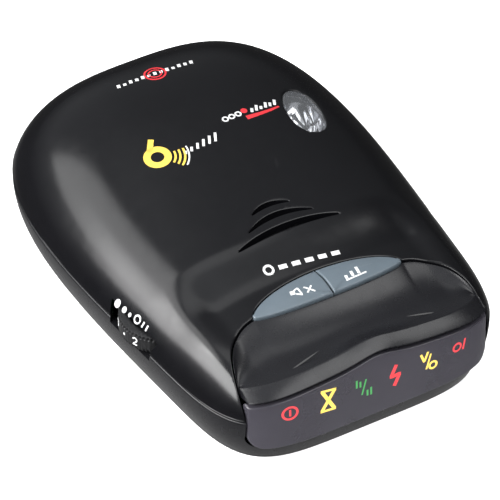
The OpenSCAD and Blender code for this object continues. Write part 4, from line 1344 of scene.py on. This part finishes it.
def ring_strokes(centre, radius, width):
    """A whole ring, as one stroke."""
    return [(arc_path(centre, radius, 0, 360, 72), width)]


def dot_strokes(centre, radius):
    """A filled disc: one stroke whose width follows the disc's outline."""
    t = np.linspace(-np.pi / 2 * 0.985, np.pi / 2 * 0.985, 24)
    path = np.column_stack([centre[0] + radius * np.sin(t), np.full_like(t, centre[1])])
    x = np.linspace(path[0, 0], path[-1, 0], 24) - centre[0]
    return [(path, 2 * np.sqrt(np.maximum(radius ** 2 - x ** 2, 1e-4)))]


def bars(start, step, rise, heights, width):
    """Upright marks in a row: each starts a step further on and rises by its share."""
    start, step, rise = np.array(start), np.array(step), np.array(rise)
    return [(line_path(start + k * step, start + k * step + rise * h), width)
            for k, h in enumerate(heights)]


def top_prints():
    """Strokes of the prints on the dome, by colour. Places are in the waist frame."""
    red, white, yellow = [], [], []
    red += ring_strokes((-0.9, 55.2), 2.25, 0.42)
    red += ring_strokes((-0.9, 55.2), 1.4, 0.35)
    white += bars((-9.6, 55.1), (1.42, -0.07), (0.35, 1.15),
                  (1, 0.7, 1, 0.85, 1, 0.7, 1, 0.85, 1, 0.7, 1, 0.85, 1), 0.72)
    for k in range(3):
        white += ring_strokes((4.7 + 1.6 * k, 35.0 + 0.12 * k), 0.58, 0.36)
    sweep = np.linspace(1.15, 0.45, 24)
    red.append((even([(9.0, 33.5), (12.0, 33.5), (14.6, 33.65), (17.1, 34.1)], 24), sweep))
    red += dot_strokes((9.5, 35.6), 0.72)
    white += bars((10.9, 34.55), (1.12, 0.05), (0.7, 1.5), (0.7, 1, 0.55, 1, 0.7, 1), 0.6)
    source = (-13.1, 32.2)
    yellow += ring_strokes(source, 2.2, 1.55)
    yellow.append((line_path((-13.9, 34.2), (-11.9, 37.2)), 1.25))
    for radius in (3.75, 4.75, 5.75):
        yellow.append((arc_path(source, radius, -54, -4, 24), 0.46))
    white.append((arc_path(source, 6.6, -50, -2, 24), 0.34))
    white += bars((-7.6, 30.0), (1.45, 0.05), (1.15, 2.3), (0.35, 0.5, 0.65, 0.8, 0.9, 1), 0.55)
    white += ring_strokes((-8.4, -5.6), 0.95, 0.5)
    white += [(line_path((-6.2 + 2.9 * k, -5.95 - 0.35 * k), (-4.4 + 2.9 * k, -6.2 - 0.35 * k)), 1.0)
              for k in range(5)]
    return {"print_red": red, "print_white": white, "print_yellow": yellow}


def side_prints():
    """Growing dots, a ring and two bars above the wheel, as (depth, height) strokes."""
    out = dot_strokes((9.2, 15.6), 0.82) + dot_strokes((6.8, 15.65), 0.62) + dot_strokes((4.85, 15.7), 0.42)
    out.append((arc_path((2.5, 16.1), (0.85, 0.7), 0, 360, 40), 0.32))
    out.append((line_path((0.5, 15.6), (0.5, 16.7)), 0.4))
    out.append((line_path((-0.8, 15.6), (-0.8, 16.7)), 0.4))
    return out


def on_side(grid):
    """Lays a grid of depth and height on the left shoulder: the width where the dome has the height."""
    y, z = grid[..., 0], grid[..., 1]
    near, far = np.zeros_like(y), FORM.half_at(y) - 1e-6
    for _ in range(40):
        mid = (near + far) / 2
        above = FORM.top_z(-mid, y) > z
        near, far = np.where(above, mid, near), np.where(above, far, mid)
    return np.stack([-near - 0.03, y, z], axis=-1)


def window_prints():
    """Legends on the window, by colour, in x and z."""
    red, yellow, green = [], [], []
    red += ring_strokes((-20.2, 13.7), 1.55, 0.5)
    red.append((line_path((-20.2, 12.9), (-20.2, 14.6)), 0.42))
    yellow += [(line_path((-13.1, 16.5), (-10.3, 11.1)), 0.8), (line_path((-10.2, 16.1), (-13.2, 11.4)), 0.8)]
    yellow += [(line_path((-13.4, 16.6), (-9.9, 16.1)), 0.55),
               (line_path((-13.5, 11.3), (-10.0, 11.0)), 0.55)]
    green += bars((-5.1, 13.9), (0.85, -0.1), (0, 2.0), (1, 0.75), 0.42)
    green += bars((-2.6, 10.9), (0.85, -0.1), (0, 2.0), (0.75, 1), 0.42)
    green.append((line_path((-3.9, 11.6), (-2.9, 15.4)), 0.34))
    red.append((even([(4.2, 16.0), (2.9, 13.2), (5.0, 13.4), (3.7, 10.6)], 30), 0.85))
    yellow.append((even([(10.0, 15.9), (10.8, 13.7), (11.7, 16.0)], 20), 0.52))
    yellow += ring_strokes((12.9, 12.0), 0.85, 0.5)
    yellow.append((line_path((11.3, 11.5), (12.4, 15.2)), 0.4))
    red += ring_strokes((18.9, 13.6), 0.95, 0.45)
    red.append((line_path((20.4, 12.3), (21.0, 14.9)), 0.45))
    return {"legend_red": red, "legend_yellow": yellow, "legend_green": green}


def button_prints(side):
    """White glyphs of the buttons: a crossed-out loudspeaker, or three growing bars and a line."""
    out = []
    if side < 0:
        c = np.array([-6.2, -14.15])
        tilt = np.array([1.0, -0.22])
        out.append((line_path(c - 1.9 * tilt, c - 0.9 * tilt), 1.1))
        out.append((even([c - 0.9 * tilt + [0, 0.5], c + 0.1 * tilt + [0, 1.05], c + 0.1 * tilt - [0, 1.05],
                          c - 0.9 * tilt - [0, 0.5]], 36), 0.36))
        out.append((line_path(c + 1.3 * tilt + [0, 0.85], c + 2.9 * tilt + [0, -0.85]), 0.36))
        out.append((line_path(c + 1.3 * tilt + [0, -0.85], c + 2.9 * tilt + [0, 0.85]), 0.36))
    else:
        c = np.array([6.2, -15.6])
        out += bars(c - [2.0, 0.0], (1.5, 0.12), (0.25, 1.9), (0.45, 0.7, 1.0), 0.62)
        out.append((line_path(c + [-2.4, -0.35], c + [2.6, 0.05]), 0.34))
    return out


def wheel_prints():
    """A ring, a dot and the number 2 round the rim of the wheel, in arc length and height."""
    z = WHEEL[1][2] - 2.0
    two = np.vstack([arc_path((3.6, z + 0.4), (0.5, 0.55), 165, -40, 16),
                     [[3.15, z - 0.85]], [[4.15, z - 0.85]]])
    out = [(arc_path((-3.4, z), (0.65, 0.85), 0, 360, 30), 0.3)]
    out += dot_strokes((0.4, z), 0.32)
    out.append((even(two, 30), 0.28))
    return out


# ---------------------------------------------------------------- stage

def camera_place():
    """Camera place from azimuth, elevation, distance and target."""
    stage = bpy.context.scene.detector_stage
    a, e = stage.azimuth, stage.elevation
    back = np.array([np.sin(a) * np.cos(e), -np.cos(a) * np.cos(e), np.sin(e)])
    return np.array(stage.target) + back * stage.distance


def aim(thing, place, target):
    """Puts a light or camera at a place, looking at a target."""
    thing.location = Vector(place)
    way = Vector(target) - Vector(place)
    thing.rotation_euler = way.to_track_quat("-Z", "Y").to_euler()


def lamp(name, place, target, size, power):
    """A soft box: a rectangular area light."""
    data = bpy.data.lights.new(name, "AREA")
    data.shape = "RECTANGLE"
    data.size, data.size_y = size
    data.energy = power
    light = bpy.data.objects.new(name, data)
    bpy.context.scene.collection.objects.link(light)
    aim(light, place, target)


def build_stage():
    """World, floor, lamps and camera."""
    scene = bpy.context.scene
    stage = scene.detector_stage
    place = camera_place()
    data = bpy.data.cameras.new("camera")
    data.lens = stage.lens
    data.sensor_width = 36
    camera = bpy.data.objects.new("camera", data)
    scene.collection.objects.link(camera)
    aim(camera, place, np.array(stage.target))
    scene.camera = camera
    scene.view_settings.view_transform = "Standard"

    world = bpy.data.worlds.new("studio")
    world.use_nodes = True
    scene.world = world
    tree = world.node_tree
    ground = tree.nodes["Background"]
    split = tree.nodes.new("ShaderNodeSeparateXYZ")
    tree.links.new(tree.nodes.new("ShaderNodeTexCoord").outputs["Generated"], split.inputs[0])
    low = spread(tree, split.outputs["Z"], 0.05, 0.3, 0.12, 0.36)
    high = spread(tree, split.outputs["Z"], 0.75, 1.0, 0.0, 0.4)
    side = spread(tree, split.outputs["X"], 0.1, 0.75, 1.0, 0.3)
    glow = sum_up(tree, "MULTIPLY", sum_up(tree, "ADD", low, high), side)
    tree.links.new(glow, ground.inputs["Strength"])
    ground.inputs["Color"].default_value = (0.94, 0.97, 1.0, 1)

    size = 3.0
    mesh = bpy.data.meshes.new("floor")
    corners = [(-size, -size, 0), (size, -size, 0), (size, size, 0), (-size, size, 0)]
    mesh.from_pydata(corners, [], [(0, 1, 2, 3)])
    floor = bpy.data.objects.new("floor", mesh)
    scene.collection.objects.link(floor)
    paper = Paint("paper")
    where = paper.node("ShaderNodeTexCoord").outputs["Object"]
    fleck = spread(paper.tree, noise(paper.tree, where, 900.0, 3.0), 0.3, 0.7, 0.97, 1.0)
    white = paper.node("ShaderNodeHueSaturation")
    white.inputs["Color"].default_value = (0.9, 0.9, 0.9, 1)
    paper.link(fleck, white.inputs["Value"])
    paper.link(white.outputs["Color"], paper.shader.inputs["Base Color"])
    paper.set(Roughness=0.95, Emission_Color=(1, 1, 1), Emission_Strength=0.8, Specular_IOR_Level=0.0)
    # Glossy rays see the floor as an emission that is brightest round the case and fades outward: a painted
    # pool of light for the case's reflections, not lit by the lamps
    painted_reflection_pool = paper.node("ShaderNodeEmission")
    scaled = paper.node("ShaderNodeVectorMath", operation="DIVIDE")
    scaled.inputs[1].default_value = (0.038, 0.057, 1.0)
    paper.link(where, scaled.inputs[0])
    away = paper.node("ShaderNodeVectorMath", operation="LENGTH")
    paper.link(scaled.outputs["Vector"], away.inputs[0])
    paper.link(spread(paper.tree, away.outputs["Value"], 1.05, 1.6, 0.42, 0.04), painted_reflection_pool.inputs["Strength"])
    pick = paper.node("ShaderNodeMixShader")
    paper.link(paper.node("ShaderNodeLightPath").outputs["Is Glossy Ray"], pick.inputs[0])
    paper.link(paper.shader.outputs[0], pick.inputs[1])
    paper.link(painted_reflection_pool.outputs[0], pick.inputs[2])
    paper.link(pick.outputs[0], paper.tree.nodes["Material Output"].inputs["Surface"])
    mesh.materials.append(paper.material)

    lamp("left box", toward(-85, 33, 0.8), (0, 0, 0.015), (0.84, 0.42), 11.0)
    lamp("left top box", toward(-42, 38, 0.9), (0, 0, 0.015), (0.4, 0.5), 1.8)
    lamp("front box", toward(150, 56, 0.9), (0, -0.03, 0.015), (1.2, 0.5), 5.4)
    lamp("back box", toward(8, 72, 0.9), (0, 0, 0.015), (0.6, 0.3), 0.4)


def toward(azimuth, elevation, distance):
    """Point at a distance; azimuth in degrees from the nose (+Y) towards +X."""
    a, e = np.radians(azimuth), np.radians(elevation)
    return np.array([np.sin(a) * np.cos(e), np.cos(a) * np.cos(e), np.sin(e)]) * distance


# ---------------------------------------------------------------- operators

FORM = None


class Build:
    """What the operators share: an error if a piece is empty."""

    bl_options = {"REGISTER", "UNDO"}

    @classmethod
    def poll(cls, context):
        return context.scene is not None

    def execute(self, context):
        global FORM
        FORM = Form()
        made = self.build(context)
        for piece in made:
            if piece is None or not len(piece.data.polygons):
                raise RuntimeError("%s made an empty piece" % self.bl_idname)
        return {"FINISHED"}


def tint(name):
    return tuple(getattr(bpy.context.scene.detector_colours, name))


class DETECTOR_OT_case(Build, bpy.types.Operator):
    """Skins of the upper and lower case halves"""
    bl_idname = "detector.case"
    bl_label = "Case"

    def build(self, context):
        return [build_upper_case(case_material("case_top", tint("case"), 0.19)),
                build_lower_case(case_material("case_bottom", tint("under"), 0.26))]


class DETECTOR_OT_panel(Build, bpy.types.Operator):
    """Front panel with its scoop and brow"""
    bl_idname = "detector.panel"
    bl_label = "Front panel"

    def build(self, context):
        return [build_front_panel(case_material("front_panel", tint("panel"), 0.27))]


class DETECTOR_OT_window(Build, bpy.types.Operator):
    """Smoked display window and its legends"""
    bl_idname = "detector.window"
    bl_label = "Display window"

    def build(self, context):
        smoke = clear_plastic("smoked_window", tint("window"), 0.12, 0.93, Specular_IOR_Level=0.6)
        made = [build_window(smoke)]
        for name, strokes in window_prints().items():
            # the legends glow at strength 0.35: painted light given off by the ink, which is no lamp
            ink = printed(name, tint(name.split("_")[1]), 0.35)
            made.append(print_on(name, strokes, on_window, (0, 1, 0), ink, "housing"))
        return made


class DETECTOR_OT_buttons(Build, bpy.types.Operator):
    """Two press buttons and their glyphs"""
    bl_idname = "detector.buttons"
    bl_label = "Buttons"

    def build(self, context):
        grey = moulded("button_grey", tint("button"), 0.36, 0.04, 0.1, 6000.0, 0.25, 0.02, 0.05,
                       (0.3, 0.33, 0.36))
        ink = printed("glyph_white", tint("white"))
        made = []
        for side, body in ((-1, "left_button"), (1, "right_button")):
            made.append(build_button(side, grey))
            made.append(print_on(body + "_glyph", button_prints(side), on_buttons, (0, 0, -1),
                                 ink, body))
        return made


class DETECTOR_OT_receiver(Build, bpy.types.Operator):
    """Clear receiver window and the folded reflector under it"""
    bl_idname = "detector.receiver"
    bl_label = "Receiver window"

    def build(self, context):
        clear = clear_plastic("clear_window", (0.5, 0.52, 0.55), 0.05, 0.12, Specular_IOR_Level=0.6)
        bright = drawn("reflector", (0.82, 0.83, 0.86), 0.12, 0.05, (600.0, 600.0, 600.0), 0.25)
        return [build_eye(clear), build_reflector(bright)]


class DETECTOR_OT_wheel(Build, bpy.types.Operator):
    """Volume wheel and the numbers on its rim"""
    bl_idname = "detector.wheel"
    bl_label = "Volume wheel"

    def build(self, context):
        black = moulded("wheel_black", (0.012, 0.012, 0.013), 0.42, 0.05, 0.3, wear=0.4)
        made = [build_wheel(black)]
        ink = printed("wheel_white", tint("white"))
        made.append(print_on("volume_wheel_marks", wheel_prints(), on_wheel, to_wheel_axis, ink,
                             "volume_wheel"))
        return made


class DETECTOR_OT_prints(Build, bpy.types.Operator):
    """Prints on the dome"""
    bl_idname = "detector.prints"
    bl_label = "Prints"

    def build(self, context):
        made = []
        for name, strokes in top_prints().items():
            ink = printed(name, tint(name.split("_")[1]))
            made.append(print_on(name, strokes, on_dome, (0, 0, -1), ink, "housing"))
        ink = bpy.data.materials["print_white"]
        made.append(print_on("side_marks", side_prints(), on_side, (1, 0, 0), ink, "housing"))
        return made


class DETECTOR_OT_finishes(Build, bpy.types.Operator):
    """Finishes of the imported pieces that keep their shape"""
    bl_idname = "detector.finishes"
    bl_label = "Finishes"

    def build(self, context):
        finishes = inner_materials()
        for piece in bpy.data.objects:
            if piece.type != "MESH":
                continue
            for place in piece.material_slots:
                known = place.material and place.material.name.split(".")[0]
                if known in finishes and place.material is not finishes[known]:
                    place.material = finishes[known]
        return []


class DETECTOR_OT_stage(Build, bpy.types.Operator):
    """Camera, floor, world and soft boxes"""
    bl_idname = "detector.stage"
    bl_label = "Stage"

    def build(self, context):
        build_stage()
        return []


OPERATORS = (
    DETECTOR_OT_case, DETECTOR_OT_panel, DETECTOR_OT_window, DETECTOR_OT_buttons,
    DETECTOR_OT_receiver, DETECTOR_OT_wheel, DETECTOR_OT_prints, DETECTOR_OT_finishes,
    DETECTOR_OT_stage,
)


class DETECTOR_PT_panel(bpy.types.Panel):
    """Lists the operators and their settings in the sidebar"""
    bl_idname = "DETECTOR_PT_panel"
    bl_label = "Radar detector"
    bl_space_type = "VIEW_3D"
    bl_region_type = "UI"
    bl_category = "Detector"

    def draw(self, context):
        layout = self.layout
        for operator in OPERATORS:
            layout.operator(operator.bl_idname)
        for name, group in GROUPS:
            box = layout.box()
            box.label(text=name.replace("detector_", "").capitalize())
            settings = getattr(context.scene, name)
            for key in group.__annotations__:
                box.prop(settings, key)


def register():
    for _, group in GROUPS:
        bpy.utils.register_class(group)
    for name, group in GROUPS:
        setattr(bpy.types.Scene, name, bpy.props.PointerProperty(type=group))
    for operator in OPERATORS:
        bpy.utils.register_class(operator)
    bpy.utils.register_class(DETECTOR_PT_panel)


def unregister():
    bpy.utils.unregister_class(DETECTOR_PT_panel)
    for operator in reversed(OPERATORS):
        bpy.utils.unregister_class(operator)
    for name, _ in GROUPS:
        delattr(bpy.types.Scene, name)
    for _, group in reversed(GROUPS):
        bpy.utils.unregister_class(group)


def main():
    register()
    for operator in OPERATORS:
        space, verb = operator.bl_idname.split(".")
        if getattr(getattr(bpy.ops, space), verb)() != {"FINISHED"}:
            raise RuntimeError("%s did not finish" % operator.bl_idname)


if __name__ == "__main__":
    main()
